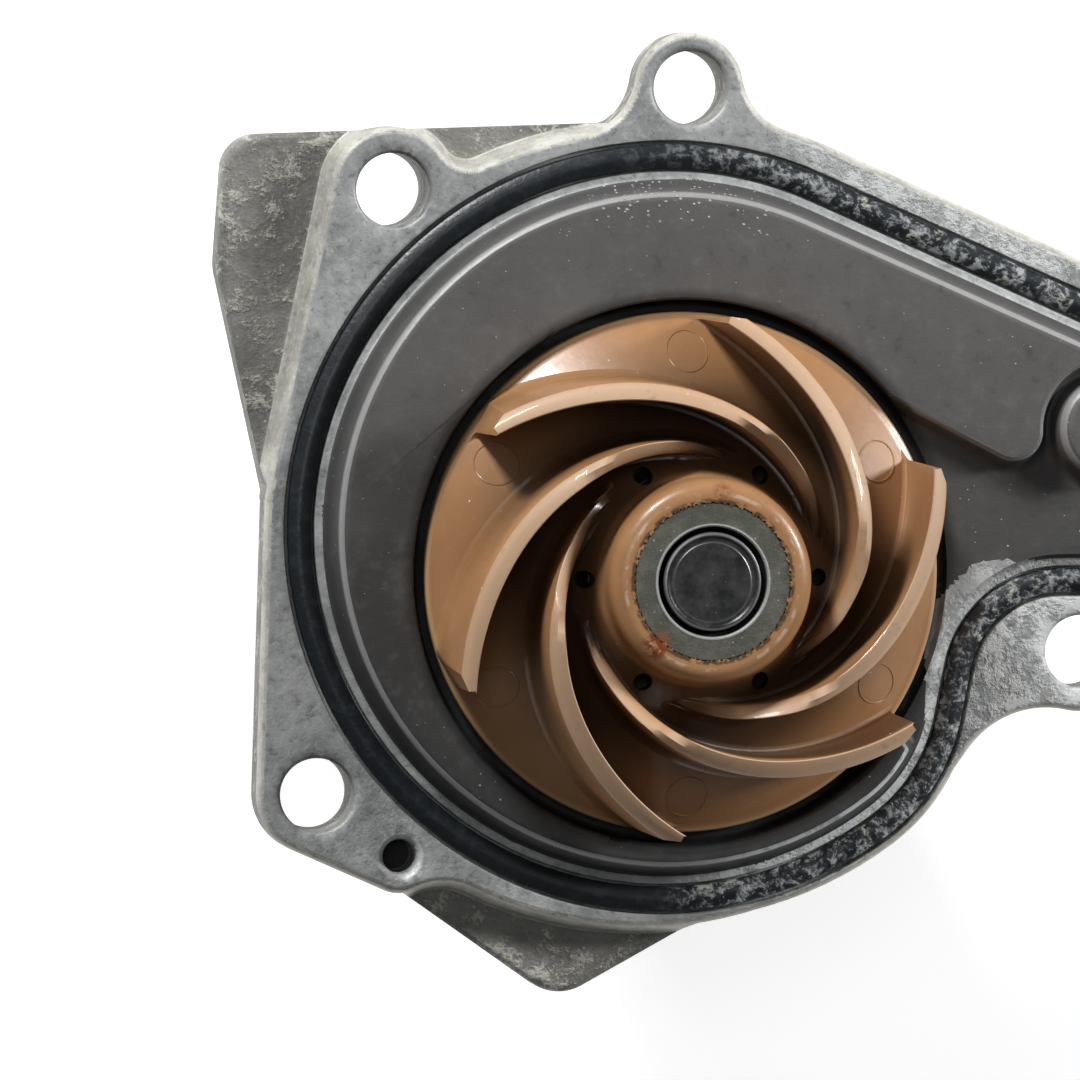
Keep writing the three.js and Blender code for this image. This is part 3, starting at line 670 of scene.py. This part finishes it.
FLANGE_EDGE = [
    (-0.9, face), (-0.5, face - 0.12), (-0.2, face - 0.5), (0.0, face - 1.1), (0.7, face - 3.6),
    (1.0, face - 3.88), (1.5, ledge_top),
]
PLATE_EDGE = [(-1.1, ledge_top), (-0.6, ledge_top - 0.1), (-0.2, ledge_top - 0.45), (0.02, ledge_top - 1.0)]
CHAMBER_EDGE = [
    (-1.0, platform), (-0.6, platform - 0.07), (-0.25, platform - 0.3), (0.0, platform - 0.75),
    (0.95, face + 0.95), (1.2, face + 0.45), (1.5, face + 0.12), (1.9, face), (2.35, face - 0.02),
    (GROOVE_FROM, face - 0.15), (GROOVE_FROM + 0.05, face - 1.4), (GROOVE_TO - 0.05, face - 1.4),
    (GROOVE_TO, face - 0.15), (GROOVE_TO + 0.15, face),
]
WALL_OUTSIDE_GROOVE = GROOVE_TO + 1.0
STEP_EDGE = [
    (-2.0, low_floor), (-1.6, low_floor + 0.06), (-1.1, low_floor + 0.35), (-0.6, low_floor + 1.2),
    (-0.1, low_floor + 2.75), (0.1, platform - 0.12), (0.4, platform),
]
POCKET_EDGE = [
    (POCKET_RADIUS - 0.9, pocket_floor), (POCKET_RADIUS - 0.3, pocket_floor + 0.25),
    (POCKET_RADIUS, pocket_floor + 0.9), (POCKET_RADIUS + 0.05, platform - 0.35),
    (POCKET_RADIUS + 0.4, platform),
]
COLLAR = [
    (BORE_RADIUS, collar_top - 0.3), (BORE_RADIUS + 0.3, collar_top),
    (COLLAR_RADIUS - 0.4, collar_top), (COLLAR_RADIUS, collar_top - 0.4),
    (COLLAR_RADIUS + 0.1, pocket_floor + 0.3), (COLLAR_RADIUS + 0.6, pocket_floor),
]
BOSS = [
    (0.0, platform + 0.5), (4.9, platform + 0.42), (5.6, platform + 0.2), (6.1, platform - 0.35),
    (6.7, low_floor + 1.4), (7.1, low_floor + 0.5), (7.6, low_floor + 0.12), (8.2, low_floor),
]
BOLT_CHAMFER = [(BOLT_RADIUS, face - 0.45), (BOLT_RADIUS + 0.45, face)]
DOWEL_SINK = [
    (0.0, face - 5.9), (DOWEL_RADIUS - 0.05, face - 5.7), (DOWEL_RADIUS, face - 0.75),
    (DOWEL_RADIUS + 0.75, face),
]
FLANGE_BACK = [(-1.0, back), (-0.4, back + 0.2), (0.02, back + 0.8)]
PLATE_BACK = [
    (-1.1, ledge_back), (-0.5, ledge_back + 0.12), (0.0, ledge_back + 0.6), (0.35, back - 0.3),
    (0.9, back),
]
CHAMBER_BACK = [(-3.0, back - 1.5), (-2.3, back - 1.4), (-1.7, back - 0.3), (-1.2, back)]
SNOUT = [
    (BORE_RADIUS, snout_end + 0.5), (BORE_RADIUS + 0.5, snout_end), (20.1, snout_end),
    (20.5, snout_end + 0.35), (20.65, snout_end + 0.9), (21.1, bearing_high - 2.5),
    (21.6, bearing_high - 1.5), (23.4, bearing_high - 0.5), (23.9, bearing_high + 0.3),
    (24.1, back - 1.9), (24.9, back - 0.6), (26.6, back),
]
EAR_SPOT = [(-1.3, -1.5), (-0.9, -1.3), (-0.5, 0.0)]  # the raised seat behind each ear
RIB_COUNT = 6
RIB_INNER, RIB_OUTER, RIB_FOOT = 20.6, 39.0, 32.0
RIB_HALF, RIB_DRAFT = 1.35, 0.55
DUCT_WEB = [((30.0, 6.0), (66.0, 12.5)), ((30.0, -2.0), (62.0, 4.5))]
WEB_HALF, WEB_DRAFT, WEB_HEIGHT, WEB_FADE_IN, WEB_FADE_OUT = 1.2, 0.5, 4.0, 4.0, 8.0


def rib_level(points):
    """The lowest level that a rib behind the flange gives each point."""
    lowest = np.full(len(points), FAR)
    for k in range(RIB_COUNT):
        turn = k * math.tau / RIB_COUNT
        along = points[:, 0] * math.cos(turn) + points[:, 1] * math.sin(turn)
        across = np.abs(points[:, 1] * math.cos(turn) - points[:, 0] * math.sin(turn))
        slope = (back - RIB_FOOT) / (RIB_OUTER - RIB_INNER)
        edge = RIB_FOOT + (along - RIB_INNER) * slope
        drop = np.clip((across - RIB_HALF) / RIB_DRAFT, 0, 1)
        here = edge + drop * np.maximum(back - edge, 0)
        on_rib = (along > RIB_INNER - 1.5) & (across < RIB_HALF + RIB_DRAFT + 0.01) & (edge < back)
        lowest = np.where(on_rib, np.minimum(lowest, here), lowest)
    return lowest


def web_level(points):
    """Two low stiffening webs behind the long outlet end."""
    lowest = np.full(len(points), FAR)
    for (ax, ay), far_end in DUCT_WEB:
        length, ux, uy = span((ax, ay), far_end)
        along = (points[:, 0] - ax) * ux + (points[:, 1] - ay) * uy
        across = np.abs((points[:, 1] - ay) * ux - (points[:, 0] - ax) * uy)
        ends = np.clip((length - along) / WEB_FADE_OUT, 0, 1) * np.clip(along / WEB_FADE_IN, 0, 1)
        drop = np.clip((across - WEB_HALF) / WEB_DRAFT, 0, 1)
        here = back - 1.5 - ends * WEB_HEIGHT * (1 - drop)
        inside = (across < WEB_HALF + WEB_DRAFT + 0.01) & (along > 0) & (along < length)
        lowest = np.where(inside, np.minimum(lowest, here), lowest)
    return lowest


def housing_casting():
    guides = []

    def guide(loop, closed=True):
        guides.append((np.asarray(loop, dtype=float), closed))

    for outline, table in (
        (FLANGE, FLANGE_EDGE), (FLANGE, FLANGE_BACK), (LEDGE, PLATE_EDGE), (LEDGE, PLATE_BACK),
        (LOBE, PLATE_EDGE), (LOBE, PLATE_BACK), (CHAMBER, CHAMBER_EDGE), (CHAMBER, CHAMBER_BACK),
        (CHAMBER, [(WALL_OUTSIDE_GROOVE + d, 0) for d in (-0.9, -0.5, -0.2, 0.0)]),
        (LOW_REGION, STEP_EDGE),
    ):
        for distance in sorted({0.0 if abs(d) < 0.03 else d for d, _ in table}):
            guide(belt(outline, distance))
    for (x, y), table, count in (
        ((0.0, 0.0), POCKET_EDGE, 180),
        ((0.0, 0.0), COLLAR, 96),
        ((0.0, 0.0), SNOUT, 96),
        ((BOSS_X, BOSS_Y), BOSS[1:], 72),
        ((DOWEL[0], DOWEL[1]), DOWEL_SINK[1:], 40),
    ):
        for radius, _ in table:
            guide(ring(x, y, radius, count))
    for x, y, r in EARS:
        for radius in (BOLT_RADIUS, BOLT_RADIUS + 0.45, *(r + d for d, _ in EAR_SPOT)):
            guide(ring(x, y, radius, 60))
    for k in range(RIB_COUNT):
        turn = k * math.tau / RIB_COUNT
        for across in (RIB_HALF, RIB_HALF + RIB_DRAFT):
            for side in (-1, 1):
                run = [(a, side * across) for a in np.linspace(RIB_INNER - 0.2, RIB_OUTER, 8)]
                cosine, sine = math.cos(turn), math.sin(turn)
                guide([(a * cosine - b * sine, a * sine + b * cosine) for a, b in run], closed=False)
    for (ax, ay), far_end in DUCT_WEB:
        length, ux, uy = span((ax, ay), far_end)
        for across in (-WEB_HALF - WEB_DRAFT, -WEB_HALF, WEB_HALF, WEB_HALF + WEB_DRAFT):
            stations = (0.05, WEB_FADE_IN, length - WEB_FADE_OUT, length - 0.05)
            guide([(ax + t * ux - across * uy, ay + t * uy + across * ux) for t in stations], closed=False)

    corners, lines = [], []
    for loop, closed in guides:
        start, count = len(corners), len(loop)
        corners.extend(Vector(p) for p in loop)
        lines.extend((start + i, start + i + 1) for i in range(count - 1))
        if closed:
            lines.append((start + count - 1, start))
    plan, _, triangles, *_ = delaunay_2d_cdt(corners, lines, [], 0, 0.012)
    plan = np.array([tuple(p) for p in plan])
    triangles = np.array([t for t in triangles if len(t) == 3])

    outlines = {
        "flange": belt(FLANGE),
        "ledge": belt(LEDGE),
        "lobe": belt(LOBE),
        "chamber": belt(CHAMBER),
        "step": belt(LOW_REGION),
    }
    centre = plan[triangles].mean(axis=1)
    at_centre = {key: distance_to(loop, centre) for key, loop in outlines.items()}
    outer = np.minimum(at_centre["flange"], at_centre["chamber"] - WALL_OUTSIDE_GROOVE)
    keep = np.minimum(np.minimum(outer, at_centre["ledge"]), at_centre["lobe"]) < 0
    keep &= np.hypot(*centre.T) > BORE_RADIUS
    for x, y, _ in EARS:
        keep &= np.hypot(centre[:, 0] - x, centre[:, 1] - y) > BOLT_RADIUS
    triangles, centre = triangles[keep], centre[keep]
    outer = outer[keep]
    chamber_distance = at_centre["chamber"][keep]
    used, triangles = np.unique(triangles, return_inverse=True)
    triangles = triangles.reshape(-1, 3)
    plan = plan[used]

    away = {key: distance_to(loop, plan) for key, loop in outlines.items()}
    flange_away = np.minimum(away["flange"], away["chamber"] - WALL_OUTSIDE_GROOVE)
    radius = np.hypot(*plan.T)
    front = levels(flange_away, FLANGE_EDGE, -FAR)
    for key in ("ledge", "lobe"):
        front = np.maximum(front, levels(away[key], PLATE_EDGE, -FAR))
    island = levels(away["chamber"], CHAMBER_EDGE, FAR)
    front = np.where(away["chamber"] < 0.96, island, np.minimum(front, island))
    front = np.where((away["chamber"] >= 0.96) & (away["chamber"] < 2.4), island, front)
    front = np.minimum(front, levels(away["step"], STEP_EDGE, FAR))
    boss_away = np.hypot(plan[:, 0] - BOSS_X, plan[:, 1] - BOSS_Y)
    front = np.maximum(front, levels(boss_away, BOSS, -FAR))
    front = np.minimum(front, levels(radius, POCKET_EDGE, FAR))
    front = np.maximum(front, levels(radius, COLLAR, -FAR))
    for x, y, _ in EARS:
        front = np.minimum(front, levels(np.hypot(plan[:, 0] - x, plan[:, 1] - y), BOLT_CHAMFER, FAR))
    dowel_away = np.hypot(plan[:, 0] - DOWEL[0], plan[:, 1] - DOWEL[1])
    front = np.minimum(front, levels(dowel_away, DOWEL_SINK, FAR))

    rear = levels(flange_away, FLANGE_BACK, FAR)
    for key in ("ledge", "lobe"):
        rear = np.minimum(rear, levels(away[key], PLATE_BACK, FAR))
    rear = np.minimum(rear, levels(away["chamber"], CHAMBER_BACK, FAR))
    rear = np.minimum(rear, levels(radius, SNOUT, FAR))
    rear = np.minimum(rear, rib_level(plan))
    rear = np.minimum(rear, web_level(plan))
    for x, y, r in EARS:
        spot = [(r + d, back + z) for d, z in EAR_SPOT]
        rear = np.minimum(rear, levels(np.hypot(plan[:, 0] - x, plan[:, 1] - y), spot, FAR))

    count = len(plan)
    points = [(*p, z) for p, z in zip(plan, front)] + [(*p, z) for p, z in zip(plan, rear)]
    faces = [list(t) for t in triangles] + [[count + i for i in t[::-1]] for t in triangles]
    # Faces on the flange's rounded edge take kind 3, the finish with the painted highlight.
    edge_band = (outer > -0.75) & (outer < 1.0)
    dark = chamber_distance < np.where((centre[:, 0] > 31) & (centre[:, 1] < 1), -1.5, 1.6)
    kinds = np.where(dark, 1, np.where(edge_band, 3, np.where(outer < 0.0, 0, 2)))
    kinds = kinds.tolist() + [2] * len(triangles)

    edges = {}
    for t in triangles:
        for a, b in ((t[0], t[1]), (t[1], t[2]), (t[2], t[0])):
            edges[(int(a), int(b))] = edges.get((int(a), int(b)), 0) + 1
    bore_levels = [
        (BORE_RADIUS, face), (BORE_RADIUS - 1, face), (BORE_RADIUS - 1, bearing_high + 0.3),
        (BORE_RADIUS, bearing_high + 0.3),
    ]
    bore_rows = {}

    def bore_row(vertex):
        """The corners down the bore's stepped wall below a corner of its mouth."""
        if vertex not in bore_rows:
            x, y = plan[vertex]
            start = len(points)
            size = math.hypot(x, y)
            points.extend((x / size * r, y / size * r, z) for r, z in bore_levels)
            bore_rows[vertex] = [vertex, *range(start, start + len(bore_levels)), count + vertex]
        return bore_rows[vertex]

    for a, b in [pair for pair in edges if pair[::-1] not in edges]:
        in_bore = math.hypot(*((plan[a] + plan[b]) / 2)) < BORE_RADIUS + 0.1
        first, second = (bore_row(a), bore_row(b)) if in_bore else ([a, count + a], [b, count + b])
        for k in range(len(first) - 1):
            faces.append([first[k], first[k + 1], second[k + 1], second[k]])
            kinds.append(2)
    return new_piece(
        "housing_casting",
        points,
        faces,
        "housing",
        [FACE, CAST_DARK, CAST_ROUGH, CAST_EDGE],
        ["pump_housing"],
        "cast_alloy",
        kinds,
        sharp=50,
    )


def ring_seal():
    """A moulded rubber ring with a rounded crown and a low lip each side of it."""
    low, high = face - 1.1, face + 0.75
    middle = (SEAL_FROM + SEAL_TO) / 2
    section = [
        (SEAL_FROM + 0.1, low), (SEAL_FROM, low + 0.3), (SEAL_FROM, high - 0.75),
        (SEAL_FROM + 0.2, high - 0.45), (SEAL_FROM + 0.55, high - 0.38),
        (middle - 0.55, high - 0.08), (middle, high), (middle + 0.55, high - 0.08),
        (SEAL_TO - 0.55, high - 0.38), (SEAL_TO - 0.2, high - 0.45), (SEAL_TO, high - 0.75),
        (SEAL_TO, low + 0.3), (SEAL_TO - 0.1, low),
    ]
    loops = [belt(CHAMBER, offset) for offset, _ in section]
    count = len(loops[0])
    points = [(*p, z) for loop, (_, z) in zip(loops, section) for p in loop]
    faces = []
    for row in range(len(section)):
        after = (row + 1) % len(section)
        for i in range(count):
            j = (i + 1) % count
            faces.append([row * count + i, after * count + i, after * count + j, row * count + j])
    return new_piece(
        "ring_seal", points, faces, "housing", [RUBBER], ["flange_seal"], "seal_rubber", sharp=60
    )


# ---- Impeller ------------------------------------------------------------------------------
HUB_TOP = [
    (9.85, 20.42), (10.1, 20.5), (10.7, 20.47), (11.3, 20.3), (11.8, 19.95), (12.2, 19.4),
    (12.42, 18.7), (12.5, 17.8), (12.55, 16.0), (12.75, 15.0), (13.15, 14.2), (13.8, 13.5),
    (14.6, 12.8), (20.0, 8.7), (27.0, 3.42), (30.8, 0.55), (31.4, 0.22), (31.75, 0.1),
    (31.93, -0.1), (32.0, -0.35),
]
HUB_UNDER = [
    (32.0, -1.3), (31.8, -1.55), (31.5, -1.6), (30.0, -1.6), (27.0, 0.55), (14.45, 10.3),
    (13.9, 10.58), (9.9, 10.6),
]
BLADE_TIP, BLADE_WRAP, BLADE_CURL, BLADE_HOOK, BLADE_FOOT = 28.5, 65.0, 52.0, 20.0, 14.4
BLADE_TAIL = 1.5
BLADE_COUNT = 6
BLADE_STATIONS = 76
BALANCE_CIRCLE, BALANCE_RADIUS = 14.45, 1.1
MARK_CIRCLE, MARK_RADIUS = 27.3, 2.5


def hub_surface(radius):
    return disc + np.interp(radius, *np.array(HUB_TOP).T)


def blade_crest(radius):
    radii = [14.4, 15.0, 15.8, 18.9, 19.3, 19.9, 32.0]
    return disc + np.interp(radius, radii, [12.9, 13.7, 15.6, 19.75, 20.15, 20.2, 15.8])


def blade_edge(r):
    """A point of a blade's inner edge at radius r, and the direction across the blade."""

    def at(radius):
        inward = (disc_radius - radius) / (disc_radius - BLADE_FOOT)
        wound = BLADE_WRAP * inward + BLADE_CURL * inward**3 + BLADE_HOOK * inward**20
        turn = math.radians(BLADE_TIP - wound)
        return np.array([radius * math.cos(turn), radius * math.sin(turn)])

    along = at(r + 0.05) - at(r - 0.05)
    along /= np.hypot(*along)
    return at(r), np.array([along[1], -along[0]])


def blade_shell():
    """One blade: drafted sides, a fillet at its foot and a chamfer along its outer crest."""
    reach = (disc_radius - 0.8, disc_radius - 0.04)  # the inner side is cut back, so the tip is blunt

    def standing(r):
        """1 along the blade, falling to 0 where its tail sinks into the hub."""
        rise = min(max((r - BLADE_FOOT) / BLADE_TAIL, 0.0), 1.0)
        return rise * (2 - rise)

    def thickness(r):
        share = (disc_radius + 2 - r) / (disc_radius + 2 - BLADE_FOOT)
        return (2.15 - 0.75 * (2 * share - 1) ** 2) * (0.5 + 0.5 * standing(r))

    # Each column runs the blade's length: how far across, from which side, and how high.
    columns = [
        (-1.1, 0, "foot", -0.1),
        (-0.6, 0, "foot", 0.1),
        (-0.28, 0, "foot", 0.45),
        (-0.12, 0, "foot", 1.1),
        (0.0, 0, "crest", -0.16),
        (0.14, 0, "crest", 0.0),
        (-0.85, 1, "crest", 0.0),
        (-0.12, 1, "crest", -0.5),
        (0.0, 1, "crest", -0.72),
        (0.3, 1, "foot", 1.2),
        (0.48, 1, "foot", 0.5),
        (0.85, 1, "foot", 0.12),
        (1.4, 1, "foot", -0.1),
        (1.2, 1, "foot", -0.9),
        (-0.9, 0, "foot", -0.9),
    ]
    points = []
    for across, side, kind, lift in columns:

        def at(r):
            edge, normal = blade_edge(r)
            return edge + normal * (across + side * thickness(r))

        low, high = 28.0, 38.0
        for _ in range(40):
            middle = (low + high) / 2
            if np.hypot(*at(middle)) < reach[side]:
                low = middle
            else:
                high = middle
        for k in range(BLADE_STATIONS + 1):
            share = math.sin(math.pi / 2 * k / BLADE_STATIONS)
            r = low + (BLADE_FOOT - low) * share
            x, y = at(r)
            radius = math.hypot(x, y)
            ground = float(hub_surface(radius))
            crest = ground - 0.3 + max(float(blade_crest(radius)) - ground + 0.3, 0.0) * standing(r)
            z = ground + lift if kind == "foot" else crest + lift
            points.append((x, y, min(z, crest) if kind == "foot" else max(z, ground - 0.5)))
    row = BLADE_STATIONS + 1
    faces = []
    for c in range(len(columns)):
        after = (c + 1) % len(columns)
        for k in range(BLADE_STATIONS):
            faces.append([c * row + k, c * row + k + 1, after * row + k + 1, after * row + k])
    faces.append([c * row for c in range(len(columns))])
    faces.append([c * row + BLADE_STATIONS for c in reversed(range(len(columns)))])
    return points, faces


def turned_copies(shell, count, start=0.0):
    points, faces = shell
    flat = np.array(points)
    shells = []
    for k in range(count):
        turn = start + k * math.tau / count
        c, s = math.cos(turn), math.sin(turn)
        moved = np.c_[flat[:, 0] * c - flat[:, 1] * s, flat[:, 0] * s + flat[:, 1] * c, flat[:, 2]]
        shells.append(([tuple(p) for p in moved], faces))
    return joined(*shells)


def bead(path, thickness, sides=6):
    """A thin round ridge along a closed path of points."""
    path = np.asarray(path, dtype=float)
    count = len(path)
    ahead = np.roll(path, -1, axis=0) - np.roll(path, 1, axis=0)
    ahead /= np.linalg.norm(ahead, axis=1)[:, None]
    up = np.array([0.0, 0.0, 1.0])
    across = np.cross(ahead, up)
    across /= np.linalg.norm(across, axis=1)[:, None]
    upright = np.cross(across, ahead)
    points, faces = [], []
    for k in range(sides):
        turn = k * math.tau / sides
        points.extend(path + thickness * (math.cos(turn) * across + math.sin(turn) * upright))
    for k in range(sides):
        after = (k + 1) % sides
        for i in range(count):
            j = (i + 1) % count
            faces.append([k * count + i, k * count + j, after * count + j, after * count + i])
    return [tuple(p) for p in points], faces


def impeller_moulding():
    profile = [(r, disc + z) for r, z in HUB_UNDER[::-1]] + [(r, disc + z) for r, z in HUB_TOP[::-1]]
    hub = lathe(profile, 180)
    turns = [k * math.tau / BLADE_COUNT for k in range(BLADE_COUNT)]
    holes = [
        (BALANCE_CIRCLE * math.cos(t), BALANCE_CIRCLE * math.sin(t), BALANCE_RADIUS) for t in turns
    ]
    hub = drilled(hub, holes, disc + 8, disc + 18)
    edge = ring(MARK_CIRCLE, 0.0, MARK_RADIUS, 40)
    mark = bead([(x, y, float(hub_surface(math.hypot(x, y)))) for x, y in edge], 0.1)
    tooth = dice.uniform(0, 0.34, 360) * (np.arange(360) % 6 > 1)
    flash = lathe(
        [(9.62, nose - 0.3), (10.4, nose - 0.3), (10.35, nose + 0.0), (9.7, nose + 0.0)],
        360,
        lambda number, turn: -tooth if number in (0, 3) else 0.0,
    )
    everything = joined(
        hub,
        turned_copies(blade_shell(), BLADE_COUNT),
        turned_copies(mark, BLADE_COUNT, math.radians(30)),
        flash,
    )
    return new_piece(
        "impeller_moulding", *everything, "rotor", [PLASTIC], ["impeller"], "impeller_plastic", sharp=38
    )


# ---- Shaft, sleeve, hub and the pieces inside ----------------------------------------------
def turned_piece(name, profile, body, finish, node, slot, count=128, holes=()):
    shell = lathe(profile, count)
    if holes:
        levels_used = [z for _, z in profile]
        shell = drilled(shell, holes, min(levels_used) - 1, max(levels_used) + 1)
    return new_piece(name, *shell, body, [finish], [node], slot, sharp=30)


def rounded(inner, outer, low, high, edge=0.3, steps=3):
    """A ring's section with rounded corners."""
    return (
        arc(outer - edge, low + edge, edge, -90, 0, steps)
        + arc(outer - edge, high - edge, edge, 0, 90, steps)
        + arc(inner + edge, high - edge, edge, 90, 180, steps)
        + arc(inner + edge, low + edge, edge, 180, 270, steps)
    )


SHAFT_RADIUS, SHAFT_END_RADIUS = 7.7, 6.0
insert_low = bottom_of("impeller_insert")


def sleeve_and_shaft():
    sleeve = [
        (6.3, insert_low), (9.6, insert_low), (9.6, nose - 0.25), (9.45, nose - 0.1),
        (7.2, nose - 0.1), (7.05, nose - 0.02), (6.85, nose - 0.02), (6.65, nose - 0.3),
        (6.6, nose - 1.1), (6.3, nose - 1.3),
    ]
    turned_piece("sleeve", sleeve, "rotor", SINTERED, "impeller_insert", "sintered_insert", 144)
    shaft = [
        (0.0, 0.0), (6.9, 0.0), (SHAFT_RADIUS, 0.8), (SHAFT_RADIUS, insert_low - 1.0),
        (SHAFT_RADIUS - 0.4, insert_low - 0.6), (SHAFT_END_RADIUS, insert_low - 0.6),
        (SHAFT_END_RADIUS, nose - 0.45), (5.88, nose - 0.2), (5.7, nose - 0.12),
        (5.5, nose - 0.14), (5.3, nose - 0.32), (4.8, nose - 0.36), (4.7, nose - 0.3),
        (0.0, nose - 0.34),
    ]
    turned_piece("shaft", shaft, "rotor", SHAFT_STEEL, "pump_shaft", "shaft_steel", 144)


def drive_flange():
    thick, boss, hole_circle, height = 5.0, 13.0, 25, top_of("drive_hub")
    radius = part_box("drive_hub")[1][0] / MM
    profile = (
        [(8.4, 0.0), (26.5, 0.0), (26.7, 0.15), (27.2, 0.15), (27.4, 0.0)]
        + arc(radius - 0.7, 0.7, 0.7, -90, 0, 4)
        + arc(radius - 0.7, thick - 0.7, 0.7, 0, 90, 4)
        + arc(boss + 2.2, thick + 2.2, 2.2, 270, 180, 6)
        + arc(boss - 0.6, height - 0.6, 0.6, 0, 90, 3)
        + [(8.5, height), (8.0, height - 0.5), (8.0, 0.4)]
    )
    turns = [math.radians(45 + 90 * k) for k in range(4)]
    holes = [(hole_circle * math.cos(t), hole_circle * math.sin(t), 2.6) for t in turns]
    turned_piece("drive_flange", profile, "rotor", HUB_STEEL, "drive_hub", "hub_steel", 144, holes)


BALLS_A_ROW, BALL_CIRCLE = 8, 10.4


def bearing_pieces():
    """The bearing: outer race, shields and balls; its cages keep their modelled shape."""
    race_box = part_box("bearing_race")
    outer = race_box[1][0] / MM
    race = rounded(13.1, outer, bearing_low, bearing_high, 0.4)
    turned_piece("outer_race", race, "housing", BEARING_STEEL, "bearing_race", "bearing_steel")
    for row in ("front", "rear"):
        body = f"{row}_balls"
        shield_low, shield_high = bottom_of(f"bearing_shield_{row}"), top_of(f"bearing_shield_{row}")
        shield = rounded(8.05, 12.75, shield_low, shield_high, 0.25)
        node = f"bearing_shield_{row}"
        turned_piece(f"shield_{row}", shield, "housing", PLAIN_RUBBER, node, "shield_rubber")
        for number in range(1, BALLS_A_ROW + 1):
            node = f"ball_{row}_{number}"
            low, high = (np.array(corner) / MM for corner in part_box(node))
            radius = (high[2] - low[2]) / 2
            turn = math.tau * (number - 1) / BALLS_A_ROW
            x, y = BALL_CIRCLE * math.cos(turn), BALL_CIRCLE * math.sin(turn)
            z = (low[2] + high[2]) / 2
            half = [
                (radius * math.cos(a), radius * math.sin(a)) for a in np.radians(np.linspace(-90, 90, 17))
            ]
            half[0], half[-1] = (0.0, -radius), (0.0, radius)
            points, faces = lathe(half, 32)
            points = [(p[0] + x, p[1] + y, p[2] + z) for p in points]
            new_piece(
                f"bearing_ball_{row}_{number}", points, faces, body, [BEARING_STEEL], [node],
                "bearing_steel",
            )


CAD_FINISHES = {
    "ball_cage_front": NYLON,
    "ball_cage_rear": NYLON,
    "seal_case": BRASS,
    "seal_bellows": PLAIN_RUBBER,
    "seal_spring": BEARING_STEEL,
    "carbon_ring": CARBON,
    "seat_ring": CERAMIC,
    "seat_cup": PLAIN_RUBBER,
    "slinger": BEARING_STEEL,
    "weep_plug": PLAIN_RUBBER,
}


def finish_small_nodes():
    """The small pieces that keep their modelled shape get a softened edge and their finish."""
    for node, finish in CAD_FINISHES.items():
        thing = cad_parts[node]
        for slot in thing.material_slots:
            slot.link = "OBJECT"
            slot.material = finish
        soft = thing.modifiers.new("softened edges", "BEVEL")
        soft.width = 0.12 * MM
        soft.segments = 2
        soft.limit_method = "ANGLE"
        soft.angle_limit = math.radians(35)


housing_casting()
ring_seal()
impeller_moulding()
sleeve_and_shaft()
drive_flange()
bearing_pieces()
finish_small_nodes()


# ---- Studio --------------------------------------------------------------------------------
def studio():
    f = Finish("plain pale floor")
    cloud = f.noise(60, 3, 0.5)
    f.colour = f.mix(cloud, grey(0.88), grey(0.92))
    pale = f.done(0.8, Emission_Color=f.colour, Emission_Strength=0.5)
    mesh = bpy.data.meshes.new("floor")
    size, level = 3.0, -0.0003
    corners = [(-size, -size, level), (size, -size, level), (size, size, level), (-size, size, level)]
    mesh.from_pydata(corners, [], [(0, 1, 2, 3)])
    mesh.materials.append(pale)
    floor = bpy.data.objects.new("floor", mesh)
    bpy.context.scene.collection.objects.link(floor)

    world = bpy.data.worlds.new("studio")
    world.use_nodes = True
    world.node_tree.nodes["Background"].inputs["Color"].default_value = (0.95, 0.97, 1.0, 1.0)
    world.node_tree.nodes["Background"].inputs["Strength"].default_value = 0.1
    bpy.context.scene.world = world
    for name, spot, aim, width, height, power in (
        ("upper left softbox", (-0.55, 0.95, 0.56), (0, 0, 0.06), 0.2, 0.2, 16),
        ("right softbox", (1.0, 0.35, 0.5), (0, 0, 0.06), 0.2, 0.2, 12),
        ("overhead fill", (-0.3, 0.25, 1.35), (0, 0, 0.05), 0.4, 0.4, 1.8),
    ):
        lamp = bpy.data.lights.new(name, "AREA")
        lamp.shape = "RECTANGLE"
        lamp.size, lamp.size_y = width, height
        lamp.energy = power
        holder = bpy.data.objects.new(name, lamp)
        holder.location = spot
        holder.rotation_euler = (Vector(aim) - Vector(spot)).to_track_quat("-Z", "Y").to_euler()
        bpy.context.scene.collection.objects.link(holder)

    lens = bpy.data.cameras.new("camera")
    lens.lens = 326
    lens.sensor_width = 36
    lens.clip_end = 20
    camera = bpy.data.objects.new("camera", lens)
    rim = disc * MM
    camera.location = (-0.21897, 0.06694, 1.17795 + rim)
    ahead = (Vector((-0.01769, 0.00416, rim)) - camera.location).normalized()
    right = ahead.cross(Vector((0, 1, 0))).normalized()
    axes = Matrix((right, right.cross(ahead), -ahead)).transposed()
    camera.rotation_euler = axes.to_euler()
    bpy.context.scene.collection.objects.link(camera)
    bpy.context.scene.camera = camera
    bpy.context.scene.view_settings.view_transform = "Standard"


studio()
